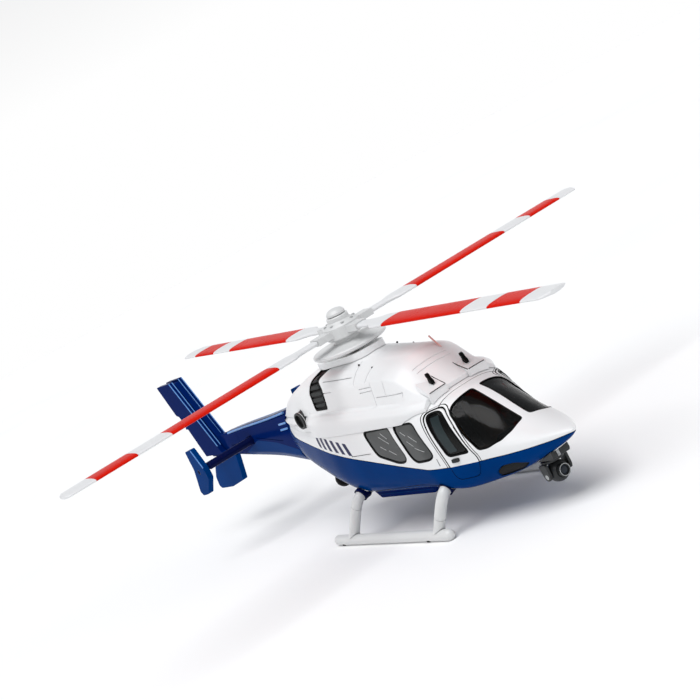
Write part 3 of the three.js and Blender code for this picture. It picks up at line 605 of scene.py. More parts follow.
# ---------- Fuselage body ----------
BODY = {
    "bottom": curve_through([
        (-96, 34), (-80, 30.5), (-60, 24.6), (-40, 19.8), (-20, 17.2), (0, 17), (45, 17),
        (62, 15.8), (75, 14.4), (92, 15.1), (106, 17.2), (120, 20.7), (132, 24.1), (137, 26),
        (NOSE_X, 27.4),
    ]),
    "crown": curve_through([
        (-96, 62), (-60, 60.5), (0, 60), (60, 58.8), (76, 56.2), (84, 54.7), (90, 52.1), (98, 47.2),
        (106, 41.5), (113, 37), (122, 33.5), (132, 31), (137, 29.8), (NOSE_X, 28.8),
    ]),
    "half_width": curve_through([
        (-96, 8.4), (-80, 13.6), (-60, 18), (-40, 22), (-20, 25), (0, 26), (62, 26), (76, 23.4),
        (84, 21.4), (93, 19.1), (101, 17.1), (110, 15.1), (119, 12.2), (128, 8.2), (135, 4.4),
        (NOSE_X, 1),
    ]),
    "waist": curve_through([
        (-96, 48), (-60, 43), (-20, 38), (20, 35), (60, 33.5), (100, 31.5), (122, 29.6),
        (NOSE_X, 28.2),
    ]),
    "square_below": curve_through([
        (-96, 2.2), (-40, 2.7), (0, 3.4), (50, 3.4), (72, 3.9), (84, 3.4), (95, 2.9), (112, 2.75),
        (NOSE_X, 2),
    ]),
    "square_above": curve_through([
        (-96, 2.4), (-50, 3.8), (0, 5), (66, 5), (76, 3.6), (82, 2.6), (90, 1.95), (104, 1.8),
        (118, 1.85), (NOSE_X, 2),
    ]),
}
BODY_RING_POINTS = 88


def body_ring(x, grow):
    """The body's section at x: a superellipse with its own squareness above and below the waist."""
    half = max(BODY["half_width"](x) + grow, 0.6)
    waist = BODY["waist"](x)
    up = max(BODY["crown"](x) + grow - waist, 0.4)
    down = max(waist - BODY["bottom"](x) + grow, 0.4)
    ring = []
    for j in range(BODY_RING_POINTS):
        angle = (j + 0.5) / BODY_RING_POINTS * 2 * math.pi
        across, along = math.cos(angle), math.sin(angle)
        power = 2 / (BODY["square_above"](x) if along > 0 else BODY["square_below"](x))
        y = half * math.copysign(abs(across) ** power, across)
        z = waist + (up if along > 0 else down) * math.copysign(abs(along) ** power, along)
        ring.append((y, z))
    return ring


def body_solid(grow):
    tail, nose = HULL_TAIL_X - max(grow, 0), NOSE_X + max(grow, 0)
    stations = spread(tail, 60, 60) + spread(62, 132, 46) + spread(133, nose, 12)
    return loft([(x, body_ring(x, grow)) for x in stations])


def body_hollow():
    stations = spread(HULL_TAIL_X + 4, NOSE_X - 7, 70)
    return loft([(x, body_ring(x, -WALL)) for x in stations])


COLOUR_BREAK = [
    (-110, 76), (-96, 64), (-90, 54), (-82, 51.6), (-66, 49.4), (-43, 46.6), (-20, 43.2),
    (-2, 40.2), (39, 33.4), (62, 30), (76, 28.7), (94, 27.9), (114, 27.6), (132, 27.3), (160, 28),
]
DOOR = [
    (76.8, 22), (88.6, 21.4), (92.4, 25), (94.4, 29.4), (84.6, 47), (80.4, 53), (72.4, 53.2),
    (76.4, 30),
]
DOOR_GLASS = [(74.2, 52), (79.2, 51.8), (82.2, 47.8), (90.4, 33.2), (78.8, 33.6), (77.8, 38)]
REAR_GLASS = [(20.6, 51.2), (44.6, 51.4), (49.2, 37), (46, 35), (40, 35.2), (24.4, 39.8)]
FRONT_GLASS = [(49.8, 51.6), (66.2, 51.4), (70.4, 36), (68.2, 34.4), (56.6, 34.2), (53.8, 36.6)]
NOSE_VENT = [(94.2, 17.6), (97, 21), (102.5, 23.4), (110.6, 23.4), (114.8, 21), (106, 17.8)]
SCREEN_EDGE = [
    (86.6, -2.2, 54), (112.2, -2.2, 37.4), (112.4, -9.6, 35.4), (109.4, -13.8, 33.8),
    (102.1, -16.7, 32.8), (96.4, -18.1, 33), (91, -17.9, 39.6), (84.2, -15.8, 49.6),
    (84, -13, 51.8), (85.4, -8.4, 53.4),
]
SCREEN_NORMAL = (0.62, -0.42, 0.66)
SCREEN_REACH = 14
DOOR_HEAD_Z = 53.3
DOOR_INNER_Y = 12
VENT_INNER_Y = 7
CORNER = {"door": 3, "window": 2.6, "vent": 2, "screen": 1.6}
RIM = 0.7  # width of the black seals round the glazing
DOOR_SEALS = {"near": 0.3, "far": 1.35}  # how far outside the door each printed line runs
LINE_WIDTH = 0.32


def below_break(drop):
    line = [(x, z - drop) for x, z in COLOUR_BREAK]
    return side_prism([(-110, -10), (160, -10), *reversed(line)])


def above_break(rise):
    line = [(x, z + rise) for x, z in COLOUR_BREAK]
    return side_prism([*line, (160, 120), (-110, 120)])


def right_opening(outline, radius, inner_y, grow=0.0):
    return side_prism(grown(outline, grow), -BEYOND, -inner_y, radius)


def right_screen(grow):
    edge = grown_in_space(SCREEN_EDGE, grow)
    return slanted_prism(edge, SCREEN_NORMAL, SCREEN_REACH, CORNER["screen"])


outer_body = body_solid(0)
clear_body = body_solid(GAP)
hollow = body_hollow()
body_shell = cut(outer_body, hollow)
glazing_skin = cut(body_solid(-PANE_INSET), hollow)
body_film = cut(body_solid(FILM_PROUD), body_solid(-FILM_DEPTH))
body_score = cut(body_solid(GAP), body_solid(-SCORE_DEPTH))

# Scored seams of the white shell, [x, z] lines in the side view.
SHELL_SEAMS = [
    [(-1, 41.3), (18.4, 41.3)],
    [(-34, 44.4), (-34, 50.6)],
    [(71.4, 30.6), (71.4, 33.6)],
]
ROOF_SEAM_X = 78.4
HULL_SEAMS = [
    [(-46, 22.6), (-20, 20.6), (44, 22.6), (60, 21.4)],
    [(-72, 35.4), (-40, 30.2)],
]


def scored(shell, score_depth, lines, extra=()):
    """The shell with fine grooves, on both sides, where score_depth meets lines of [x, z] points."""
    tools = [stroke(line, SCORE_WIDTH) for line in lines] + list(extra)
    return cut(shell, *[common(score_depth, tool) for tool in tools])


def door_openings():
    return both_sides(right_opening(DOOR, CORNER["door"], DOOR_INNER_Y))


def build_hull():
    vent = both_sides(right_opening(NOSE_VENT, CORNER["vent"], VENT_INNER_Y))
    hull = cut(common(body_shell, below_break(GAP / 2)), door_openings(), vent)
    hull = scored(hull, body_score, HULL_SEAMS)
    dress(shade_inside(hull), "hull_look", [BLUE, INSIDE_SHADE], "blue_hull", stands_for="hull_lower")


def build_cabin():
    windows = [side_prism(o, radius=CORNER["window"]) for o in (REAR_GLASS, FRONT_GLASS)]
    screens = both_sides(right_screen(0))
    shell = cut(common(body_shell, above_break(GAP / 2)), door_openings(), *windows, screens)
    half = SCORE_WIDTH / 2
    roof_seam = box_between((ROOF_SEAM_X - half, -17, 52), (ROOF_SEAM_X + half, 17, 60))
    shell = scored(shell, body_score, SHELL_SEAMS, [roof_seam])
    dress(shade_inside(shell), "cabin_look", [WHITE, INSIDE_SHADE], "white_shell", stands_for="cabin_shell")


def build_doors():
    leaf = common(body_shell, right_opening(DOOR, CORNER["door"], DOOR_INNER_Y, -GAP))
    leaf = cut(leaf, right_opening(DOOR_GLASS, CORNER["window"], DOOR_INNER_Y))
    upper = shade_inside(common(leaf, above_break(0)))
    lower = shade_inside(common(leaf, below_break(0)))
    dress_pair(upper, "door_look", [WHITE, INSIDE_SHADE], "white_shell", DOOR_BODIES, node="door")
    dress_pair(lower, "door_sill_look", [BLUE, INSIDE_SHADE], "blue_hull", DOOR_BODIES)


def film_ring(outer, inner):
    return common(body_film, cut(outer, inner))


def door_line(reach):
    """The door's outline moved outwards, but kept below the roof's edge."""
    return [(x, min(z, DOOR_HEAD_Z + reach / 3)) for x, z in grown(DOOR, reach)]


def glass_rim(outline, outer_radius):
    """A rim printed round an opening, with its own rounding for the outer edge."""
    outer = right_opening(outline, outer_radius, DOOR_INNER_Y, RIM)
    return film_ring(outer, right_opening(outline, CORNER["window"], 0))


def build_seals():
    """Black rims printed round the glazing, and the dark seal just outside each door."""
    for name, outline in (("rear", REAR_GLASS), ("front", FRONT_GLASS)):
        ring = glass_rim(outline, CORNER["window"] + RIM / 2)
        dress_pair(ring, f"window_rim_{name}", BLACK, "black_trim")
    dress_pair(glass_rim(DOOR_GLASS, CORNER["window"]), "door_rim", BLACK, "black_trim", DOOR_BODIES)
    for name, reach in DOOR_SEALS.items():
        outer = right_opening(door_line(reach), CORNER["door"], DOOR_INNER_Y)
        ring = film_ring(outer, right_opening(door_line(reach - LINE_WIDTH), CORNER["door"], 0))
        dress_pair(common(ring, above_break(0)), f"door_seal_{name}", BLACK, "black_trim")
    screen_ring = film_ring(right_screen(0.55), right_screen(-0.1))
    dress_pair(screen_ring, "screen_rim", BLACK, "black_trim")


def pane(outline, corner):
    """The sheet that fills an opening, with a gap all round."""
    return common(glazing_skin, right_opening(outline, CORNER[corner], VENT_INNER_Y + GAP, -GAP))


def build_glazing():
    screen = common(glazing_skin, right_screen(-1.4 * GAP))
    dress_pair(screen, "windscreen_look", SCREEN, "smoked_glazing", node="windscreen")
    for node, outline in (("cabin_glass_rear", REAR_GLASS), ("cabin_glass_front", FRONT_GLASS)):
        dress_pair(pane(outline, "window"), f"{node}_look", CABIN_PANE, "smoked_glazing", node=node)
    door_pane = pane(DOOR_GLASS, "window")
    dress_pair(
        door_pane, "door_glass_look", DOOR_PANE, "smoked_glazing", DOOR_BODIES, node="door_glass"
    )
    dress_pair(pane(NOSE_VENT, "vent"), "nose_vent_look", BLACK, "black_trim", node="nose_vent")


# Short slanted reflections printed on the cabin glass, as the [x, z] ends of each stroke.
GLASS_STROKES = [
    [(32.6, 48.2), (39.4, 44.5)], [(30.2, 43.7), (34.1, 41.8)], [(35.5, 49.6), (39.5, 46.9)],
    [(36.6, 41.2), (41.4, 38.8)], [(59.6, 46.4), (64.1, 43.2)], [(56.3, 44), (59.8, 41.6)],
    [(60.4, 40.6), (66, 38.2)], [(54, 48.6), (57, 46.8)],
]
DOOR_SHEEN_OUTLINE = [(75.5, 50.6), (79, 50.6), (84.8, 34.6), (80, 34.6), (78.6, 38.4)]


def build_glass_prints():
    pane_film = cut(body_solid(FILM_PROUD - PANE_INSET), body_solid(-PANE_INSET - FILM_DEPTH))
    strokes = union(*[stroke(line, LINE_WIDTH, -BEYOND, -10) for line in GLASS_STROKES])
    dress_pair(common(pane_film, strokes), "glass_strokes", GREY_TRIM_AND_HIGHLIGHT, "smoked_glazing")
    sheen = common(pane_film, side_prism(DOOR_SHEEN_OUTLINE, -BEYOND, -10, 0.4))
    dress_pair(sheen, "door_sheen", DOOR_SHEEN, "smoked_glazing", DOOR_BODIES)


def break_height(x):
    """The height of the colour break at x."""
    for (x0, z0), (x1, z1) in zip(COLOUR_BREAK, COLOUR_BREAK[1:]):
        if x <= x1:
            return z0 + (z1 - z0) * (x - x0) / (x1 - x0)
    return COLOUR_BREAK[-1][1]


def build_side_marking():
    """A plain row of slanted bars along the rear of each side."""
    first_x, pitch, width, height, lean, clear = -37, 6.7, 3.4, 6.4, 1.6, 1.4
    bars = []
    for i in range(6):
        x = first_x + pitch * i
        foot = break_height(x + width / 2) + clear
        top = foot + height
        outline = [(x, foot + 0.5), (x + width, foot), (x + width - lean, top), (x - lean, top + 0.5)]
        bars.append(side_prism(outline, -BEYOND, -5, 0.5))
    marking = common(body_film, union(*bars))
    dress_pair(marking, "side_bars", INK, "navy_bar")


# ---------- Engine cowling ----------
COWL = {
    "crown": curve_through([
        (-94, 63.6), (-90, 65.8), (-82, 69.8), (-73, 73), (-58, 76.6), (-48, 78.8), (-27, 81.6),
        (8, 82), (31, 78.4), (45, 76.2), (54, 75), (64, 67.2), (74, 58.6),
    ]),
    "crease": curve_through([
        (-94, 62.6), (-84, 66), (-60, 70), (-30, 73), (-10, 73), (26, 71.4), (47, 71.4), (70, 60.2),
        (74, 58),
    ]),
    "crease_half": curve_through([
        (-94, 6), (-80, 10), (-60, 14.2), (-30, 18), (46, 18.6), (74, 15.6),
    ]),
    "hip_half": curve_through([(-94, 5.4), (-60, 12.2), (-30, 14.8), (10, 15), (46, 14.4), (74, 12)]),
    "shoulder_half": curve_through([(-94, 4), (-60, 7), (-25, 8), (10, 8.4), (31, 9.4), (74, 9)]),
    "ledge": curve_through([(-94, 61.7), (-34, 62.8), (60, 59.4), (74, 57.4)]),
    "ledge_half": curve_through([(-94, 7.4), (-80, 12), (-60, 16.4), (-34, 20), (60, 20.6), (74, 17)]),
    "sponson_half": curve_through([
        (-94, 8.4), (-82, 13), (-62, 17.6), (-42, 21), (-36, 23.6), (-28, 25.4), (0, 26.6),
        (54, 26.6), (64, 25), (74, 20),
    ]),
    "sponson_foot": curve_through([(-94, 59.6), (-76, 57), (-60, 54.6), (-34, 52.6), (74, 51.6)]),
}
COWL_REAR_X = -94
COWL_FRONT_X = 74
HIP_RISE = 0.5
SHOULDER_RISE = 0.87
COWL_CORNERS = [0.3, 2.2, 1.6, 0.9, 0.8, 1.0, 2.6, 4.2, 3.6]  # rounding from the foot to the crown


def cowl_ring(x, inset):
    """The cowling's section: sponson, ledge, leaning side, then a rounded barrel to the crown."""
    at = {name: curve(x) for name, curve in COWL.items()}
    ledge = at["ledge"]
    sponson = at["sponson_half"] - inset
    foot = at["sponson_foot"] + inset
    crease = max(at["crease"] - inset, ledge + 0.3)
    crown = max(at["crown"] - inset, crease + 0.2)
    half = [
        (sponson - 0.9, foot),
        (sponson, foot + (ledge - foot) * 0.5),
        (sponson - 0.4, ledge - 2),
        (sponson - 2.6, ledge - inset),
        (at["ledge_half"] - inset, ledge + 0.2 - inset),
        (at["crease_half"] - inset, crease),
        (at["hip_half"] - inset, crease + (crown - crease) * HIP_RISE),
        (at["shoulder_half"], crease + (crown - crease) * SHOULDER_RISE),
        (0, crown),
    ]
    other = [(-y, z) for y, z in reversed(half[:-1])]
    return rounded(half + other, COWL_CORNERS + COWL_CORNERS[-2::-1], steps=5)


def cowl_solid(inset):
    grow = max(-inset, 0)
    stations = spread(COWL_REAR_X - grow, -36, 34) + spread(-34, 44, 26)
    stations += spread(46, COWL_FRONT_X + grow, 26)
    return loft([(x, cowl_ring(x, inset)) for x in stations])


def cowl_hollow_ring(x):
    """The cowling's hollow in section, set 2 to 4 mm inside its outer lines."""
    half = [
        (COWL["ledge_half"](x) - 3, 50),
        (COWL["ledge_half"](x) - 3, COWL["ledge"](x)),
        (COWL["crease_half"](x) - 2.6, COWL["crease"](x) - 2.4),
        (COWL["shoulder_half"](x) - 1, COWL["crown"](x) - 3.6),
    ]
    return [*half, (0, COWL["crown"](x) - 3), *[(-y, z) for y, z in reversed(half)]]


LOUVRE = [
    (-27, 64.6), (-13.4, 64.3), (-13, 73), (-20, 77.4), (-14, 80), (-3, 81.8), (-3, 90), (-14, 90),
    (-24, 81), (-29, 77.6), (-28.6, 74),
]
LOUVRE_DEPTH = 1.3
LOUVRE_BORDER = 1.5
LOUVRE_RAIL = 0.6
SLAT = {"height": 1.7, "first": 65.6, "last": 76.8, "count": 5, "depth": 0.9}
EXHAUST = {"x": -48, "y": 18.6, "z": 61.6, "radius": 4.4, "bore": 3.4, "length": 5}

# Scored seams of the cowling, [x, z] lines in the side view.
COWL_SEAMS = [
    [(36, 71), (36.3, 60.9)],
    [(24.6, 69.5), (36, 69.5)],
    [(24.2, 67.8), (36.2, 67.8)],
    [(48.1, 70.4), (47.6, 63.9)],
    [(38.6, 64.4), (60.5, 63.6), (60.7, 61.9)],
    [(20.2, 78.8), (20.4, 75.5), (19.6, 72.5), (20.5, 71.2)],
    [(32.8, 76.2), (31.8, 73.6), (31.2, 71.8)],
    [(-13.4, 76.2), (17.1, 74.9)],
    [(-12.9, 71.6), (-4.2, 71.4)],
    [(-34.8, 64.4), (-35.1, 59.9)],
    [(-66, 58.6), (-38, 58.6)],
]
COWL_RIVETS = [(20.2, -11.2, 78.4), (32.6, -12, 75.9)]
SLOPE_GROOVES = (60.6, 62.8)  # a double groove across the barrel's front slope
SLOPE_HALF = 9.4


clear_cowl = cowl_solid(-GAP)


def mast_hole():
    return drum(6, 24, "z", (-2, 0, 84))


def louvre_zone(grow):
    return side_prism(grown(LOUVRE, grow), radius=1.5)


def build_cowling():
    cavity = loft([(x, cowl_hollow_ring(x)) for x in (-74, -52, -24, 8, 31, 46)])
    recess = cut(louvre_zone(GAP), cowl_solid(LOUVRE_DEPTH + GAP))
    pipe_y = EXHAUST["y"] - 0.4
    pipes = [
        drum(EXHAUST["radius"] + GAP, 8, "y", (EXHAUST["x"], y, EXHAUST["z"]))
        for y in (-pipe_y, pipe_y)
    ]
    shell = cut(cowl_solid(0), clear_body, cavity, mast_hole(), recess, boom_solid(GAP), *pipes)
    score_depth = cut(clear_cowl, cowl_solid(SCORE_DEPTH))
    slope_grooves = [
        box_between((x - 0.2, -SLOPE_HALF, 66), (x + 0.2, SLOPE_HALF, 90)) for x in SLOPE_GROOVES
    ]
    shell = scored(shell, score_depth, COWL_SEAMS, slope_grooves)
    dress(shell, "cowling_look", WHITE, "white_shell", stands_for="engine_cowling")
    for i, place in enumerate(COWL_RIVETS):
        dress_pair(ball(0.5, place, 16), f"cowling_rivet_{i + 1}", BLACK, "black_trim")


def build_louvres():
    """The black band climbing over the cowling, with slats across it."""
    base = cut(common(cowl_solid(0.5), louvre_zone(0)), cowl_solid(LOUVRE_DEPTH), mast_hole())
    dress(base, "louvre_band_look", BLACK, "black_trim", stands_for="louvre_band")
    slats = [
        box_between((-40, -BEYOND, z), (-6, BEYOND, z + SLAT["height"]))
        for z in spread(SLAT["first"], SLAT["last"], SLAT["count"])
    ]
    below_slats = cowl_solid(SLAT["depth"])
    ribs = cut(common(cowl_solid(0.05), louvre_zone(-LOUVRE_BORDER), union(*slats)), below_slats)
    dress(ribs, "louvre_slats", RIB_GREY, "black_trim", bevel=0.12)
    border = cut(louvre_zone(0), louvre_zone(-LOUVRE_RAIL))
    rails = cut(common(cowl_solid(0.02), border), below_slats)
    dress(cut(rails, mast_hole()), "louvre_rails", BLACK, "black_trim")


def build_exhausts():
    """A pipe stub whose mouth is a dark cup behind a bright rim."""
    y, x, z = EXHAUST["y"], EXHAUST["x"], EXHAUST["z"]
    mouth_y = -y - EXHAUST["length"] / 2
    pipe = drum(EXHAUST["radius"], EXHAUST["length"], "y", (x, -y, z), edge=0.35)
    cup = drum(EXHAUST["bore"], 3.2, "y", (x, mouth_y, z))
    pipe = cut(pipe, cup, clear_body)
    dress_pair(pipe, "exhaust_look", CHARCOAL, "dark_fitting", node="exhaust")
    liner = drum(EXHAUST["bore"] - 0.05, 0.5, "y", (x, mouth_y + 1.3, z), edge=0.1)
    dress_pair(cut(liner, clear_body), "exhaust_liner", BLACK, "black_trim")
    rim = turned_at(collar(4.2, 4.48, -0.12, 0.12), "y", (x, mouth_y + 1.1, z))
    dress_pair(rim, "exhaust_rim", PALE, "pale_fitting")


# ---------- Roof fittings ----------
ROOF_BOX = [
    (75.8, -15.8, 53), (75.8, -15.8, 59.4), (75.8, -6.2, 59.6), (75.8, -6.2, 53),
    (70, -12.6, 62.2), (70, -6.2, 62.4), (64.5, -10.4, 65.2), (64.5, -6.2, 65.4),
    (66, -14.3, 64.2), (66, -15.9, 61.5), (64.4, -16, 58), (63.8, -16.4, 53), (62, -6.2, 53),
]
HOOK_OUTLINE = [
    (70.2, 62.7), (72.8, 61.5), (72.8, 63.4), (71.9, 64.4), (71.6, 66.2), (70.4, 67), (70, 66),
    (70.6, 64.8),
]
HOOK_Y = 9.6


def convex_hull(points):
    shape = bmesh.new()
    for point in points:
        shape.verts.new(point)
    made = bmesh.ops.convex_hull(shape, input=shape.verts)
    loose = [v for v in made["geom_interior"] if isinstance(v, bmesh.types.BMVert)]
    bmesh.ops.delete(shape, geom=loose, context="VERTS")
    bmesh.ops.recalc_face_normals(shape, faces=shape.faces)
    return piece_from(shape)


def build_roof_fittings():
    wedge = cut(convex_hull(ROOF_BOX), clear_body, clear_cowl)
    dress_pair(wedge, "roof_box_look", WHITE, "white_shell", node="roof_box", bevel=0.4)
    lip = tube([(75.85, -15.2, 59.5), (75.85, -11, 59.65), (75.85, -6.8, 59.7)], 0.2, 10, 4)
    edge = tube([(75.7, -6.3, 59.7), (70, -6.15, 62.5), (66, -6.15, 64.8)], 0.2, 10, 6)
    dress_pair(lip, "roof_box_lip", BLACK, "black_trim")
    dress_pair(edge, "roof_box_edge", BLACK, "black_trim")
    hook = side_prism(HOOK_OUTLINE, -HOOK_Y - 0.8, -HOOK_Y + 0.8, 0.4)
    dress_pair(hook, "roof_hook_look", BLACK, "black_trim", node="roof_hook", bevel=0.2)
    line = [(65, 9.4, 63), (59, 9.4, 70.4), (53, 9.4, 77.6)]
    whip = cut(tube(line, lambda share: 0.62 - 0.25 * share, 16, 12), clear_cowl)
    dress(whip, "whip_look", ROSE, "rose_whip", stands_for="whip_antenna")


# ---------- Main rotor ----------
def build_mast_fairing():
    right = [(-30, -7), (-20, -9.6), (12, -9.6), (20, -6)]
    outline = right + [(x, -y) for x, y in reversed(right)]
    hole = drum(5.4, 30, "z", (-1, 0, 84))
    slab = cut(top_prism(outline, 76, 83.3, 4), clear_cowl, hole)
    slab = cut(slab, common(cowl_solid(0), louvre_zone(GAP)))
    dress(slab, "mast_fairing_look", WHITE, "white_shell", stands_for="mast_fairing", bevel=0.5)


# Profiles of the hub's turned stack and its cap, [radius, z] along the mast.
HUB_STACK = [
    (0, -31), (2.4, -31), (2.4, -10.4), (9, -10.1), (15, -9.7), (17.6, -9.1), (18.4, -8.5),
    (18.4, -7.6), (17.8, -7.1), (7.6, -6.1), (6.6, -5.6), (6, -4.6), (6, -4), (6.6, -3.6),
    (8.6, -3.5), (9, -3.1), (9, 2.2), (8.7, 2.6), (5.8, 3.8), (5.4, 4.2), (5.4, 6), (5, 6.4),
    (0, 6.4),
]
HUB_CAP = [
    (0, 6.7), (4.3, 6.7), (4.6, 7), (4.6, 7.8), (3.9, 8.8), (3, 9.4), (1.6, 9.8), (0, 9.9),
]
HUB_BOLTS = {"count": 8, "circle": 7.2, "z": 3.3}


def build_hub():
    """The turned stack with its disc, the four arms that hold the blades, the cap and the bolts."""
    stack = turned(HUB_STACK, 96)
    reach, half_width, half_height = BLADE_ROOT - GAP, 3.5, 1.6
    arms = [
        box_between((-reach, -half_width, -half_height), (reach, half_width, half_height)),
        box_between((-half_width, -reach, -half_height), (half_width, reach, half_height)),
    ]
    hub = moved(union(stack, *arms), rotor_place(0))
    dress(hub, "hub_look", PALE, "pale_fitting", "main_rotor", "rotor_hub", bevel=0.25)
    cap = moved(turned(HUB_CAP), rotor_place(0))
    dress(cap, "cap_look", PALE, "pale_fitting", "main_rotor", "rotor_cap")
    for i in range(HUB_BOLTS["count"]):
        angle = 2 * math.pi * (i + 0.5) / HUB_BOLTS["count"]
        away = Vector((math.cos(angle), math.sin(angle), 0)) * HUB_BOLTS["circle"]
        bolt = drum(0.8, 0.7, "z", away + Vector((0, 0, HUB_BOLTS["z"])), edge=0.2, sides=16)
        moved(bolt, rotor_place(0))
        dress(bolt, f"hub_bolt_{i + 1}", GREY_TRIM_AND_HIGHLIGHT, "pale_fitting", "main_rotor")


def rotor_place(quarter_turns):
    """The matrix that sets a blade lying along +X at its place round the leaning mast."""
    angle = ROTOR_PHASE + quarter_turns * math.pi / 2
    return ALONG_MAST @ Matrix.Rotation(angle, 4, "Z")


BAND_SHARES = [(0.272, 0.655), (0.771, 0.909)]  # where the red bands start and end
RED_BANDS = [(start * ROTOR_RADIUS, end * ROTOR_RADIUS) for start, end in BAND_SHARES]
BLADE_GRIP = [
    (BLADE_ROOT, 3), (BLADE_ROOT + 9, 3.4), (BLADE_ROOT + 12, 4.6), (BLADE_ROOT + 16, 6.9),
]
BLADE_LOW_EDGE = curve_through([*BLADE_GRIP, (ROTOR_RADIUS - 3, 6.92), (ROTOR_RADIUS, 2.4)])
BLADE_HIGH_EDGE = curve_through([*BLADE_GRIP, (ROTOR_RADIUS - 1.2, 6.92), (ROTOR_RADIUS, 5)])
BLADE_HALF_THICKNESS = 1.2
BLADE_THINNING = 0.35
BLADE_RING_POINTS = 32


def blade_ring(x):
    """A lens-shaped section with blunt edges, thinner towards the tip."""
    thickness = BLADE_HALF_THICKNESS - BLADE_THINNING * (x - BLADE_ROOT) / ROTOR_RADIUS
    ring = []
    for j in range(BLADE_RING_POINTS):
        angle = 2 * math.pi * (j + 0.5) / BLADE_RING_POINTS
        across, up = math.cos(angle), math.sin(angle)
        edge = BLADE_HIGH_EDGE(x) if across > 0 else BLADE_LOW_EDGE(x)
        y = edge * math.copysign(abs(across) ** 0.75, across)
        ring.append((y, thickness * math.copysign(abs(up) ** 0.8, up)))
    return ring


def build_blades():
    grip_end, tip_start = BLADE_ROOT + 18, ROTOR_RADIUS - 5
    edges = [edge for band in RED_BANDS for edge in band]
    stations = spread(BLADE_ROOT, grip_end, 16)[:-1] + spread(grip_end, edges[0], 4)[:-1]
    for start, end in zip(edges, edges[1:] + [tip_start]):
        stations += spread(start, end, 8)[:-1]
    stations += spread(tip_start, ROTOR_RADIUS, 9)
    for i in range(4):
        blade = loft([(x, blade_ring(x)) for x in stations])
        for face in blade.data.polygons:
            middle = face.center.x
            red = len(face.vertices) == 4 and any(a < middle < b for a, b in RED_BANDS)
            face.material_index = 1 if red else 0
        moved(blade, rotor_place(i))
        node = f"rotor_blade_{i + 1}"
        dress(blade, f"{node}_look", [BLADE_WHITE, BLADE_RED], "rotor_blade", "main_rotor", node)


# ---------- Tail ----------
BOOM_END_X = -196
BOOM = {
    "top": curve_through([(BOOM_END_X, 58.8), (-167, 60.4), (-130, 62), (HULL_TAIL_X, 64.2)]),
    "bottom": curve_through([(BOOM_END_X, 44.8), (-183, 43.6), (-130, 39), (HULL_TAIL_X, 34)]),
    "half": curve_through([(BOOM_END_X, 5), (-150, 5.8), (HULL_TAIL_X, 8.4)]),
}
BOOM_SEAMS = [
    [(-190, 51.4), (-166, 52)],
    [(-150, 53), (-112, 49)],
    [(-174, 46), (-176, 58)],
]
# A lighter patch on the boom's lower side: painted light standing for a facet that faces down and
# outwards.
BOOM_PAINTED_LIGHT = [(-148.5, 51.4), (-172.5, 45.6), (-176, 40), (-96, 30), (-96, 42.6), (-122, 48.4)]
STABILISER = [(-163, 50.8), (-155.4, 50), (-153.4, 52.4), (-155.4, 54.8), (-163, 53.8)]
STABILISER_HALF_SPAN = 34.5
ENDPLATE_HOLE = 1.6
ENDPLATE = [
    (-170.6, 63.8), (-162, 64.4), (-156.8, 52.4), (-156.8, 46.4), (-169, 37.4), (-177.4, 37),
    (-179.4, 39.4), (-171.6, 52.6),
]
FIN_CORE = [
    (BOOM_END_X - GAP, 44.6), (BOOM_END_X - 3, 58), (-213.6, 58), (-234.6, 95.2), (-255.8, 95.2),
    (-236, 45.6),
]
FIN_PLATE = [
    (-205, 47.6), (-211, 48.4), (-236, 96.4), (-257.4, 96.4), (-250.4, 76.6), (-246.6, 75.2),
    (-244.4, 70), (-237.4, 47.6),
]
FIN_PATCH = [(-246, 66.6), (-242.2, 66.6), (-242.2, 69.4), (-245, 69.4)]
VENTRAL = [
    (-201, 44), (-234, 45.2), (-243.4, 38), (-249.6, 32.4), (-251.4, 26.6), (-249, 24.8),
    (-231, 24.9), (-209.6, 28.2), (-203.8, 38.6),
]
TAIL_ROTOR = {"x": -240, "y": 8.6, "z": 70, "radius": 17, "rest": math.radians(-26)}


def boom_ring(x, grow):
    top = BOOM["top"](x) + grow
    bottom = BOOM["bottom"](x) - grow
    half = BOOM["half"](x) + grow
    middle = bottom + (top - bottom) * 0.55
    right = [
        (half * 0.5, bottom),
        (half * 0.92, bottom + (middle - bottom) * 0.3),
        (half, middle),
        (half * 0.84, top - (top - middle) * 0.25),
        (half * 0.45, top),
    ]
    return rounded(right + [(-y, z) for y, z in reversed(right)], 0.7, steps=4)


def boom_solid(grow):
    stations = spread(BOOM_END_X - grow, HULL_TAIL_X - GAP + grow, 40)
    return loft([(x, boom_ring(x, grow)) for x in stations])


def build_boom():
    slot = side_prism(grown(STABILISER, GAP))
    score_depth = cut(boom_solid(GAP), boom_solid(-SCORE_DEPTH))
    boom = scored(cut(boom_solid(0), slot), score_depth, BOOM_SEAMS)
    dress(boom, "boom_look", DEEP_BLUE, "blue_hull", stands_for="tail_boom")
    # Light-blue strips along the boom's upper edges: painted highlights.
    for side in (-1, 1):
        line = [(x, side * BOOM["half"](x) * 0.66, BOOM["top"](x) - 0.7) for x in spread(-190, -99, 7)]
        dress(tube(line, 0.6, 12, 8), f"boom_edge_highlight_{side + 2}", HIGHLIGHT_BLUE, "blue_hull")
    # A film of lighter blue over that patch: painted light, not a facet in the boom's shape.
    painted_patch = common(side_prism(BOOM_PAINTED_LIGHT, radius=1), boom_solid(FILM_PROUD))
    dress(cut(painted_patch, boom_solid(-FILM_DEPTH)), "boom_painted_light", BLUE, "blue_hull")
    # Two raised light-blue strips near the hull: painted highlights along a stepped edge.
    for i, height in enumerate((54.4, 57.4)):
        outline = [(-108, height), (-97.2, height + 0.5), (-97.2, height + 1.5), (-108, height + 1)]
        step = common(side_prism(outline, radius=0.3), boom_solid(0.35))
        dress(cut(step, boom_solid(-0.4)), f"boom_step_highlight_{i + 1}", HIGHLIGHT_BLUE, "blue_hull")


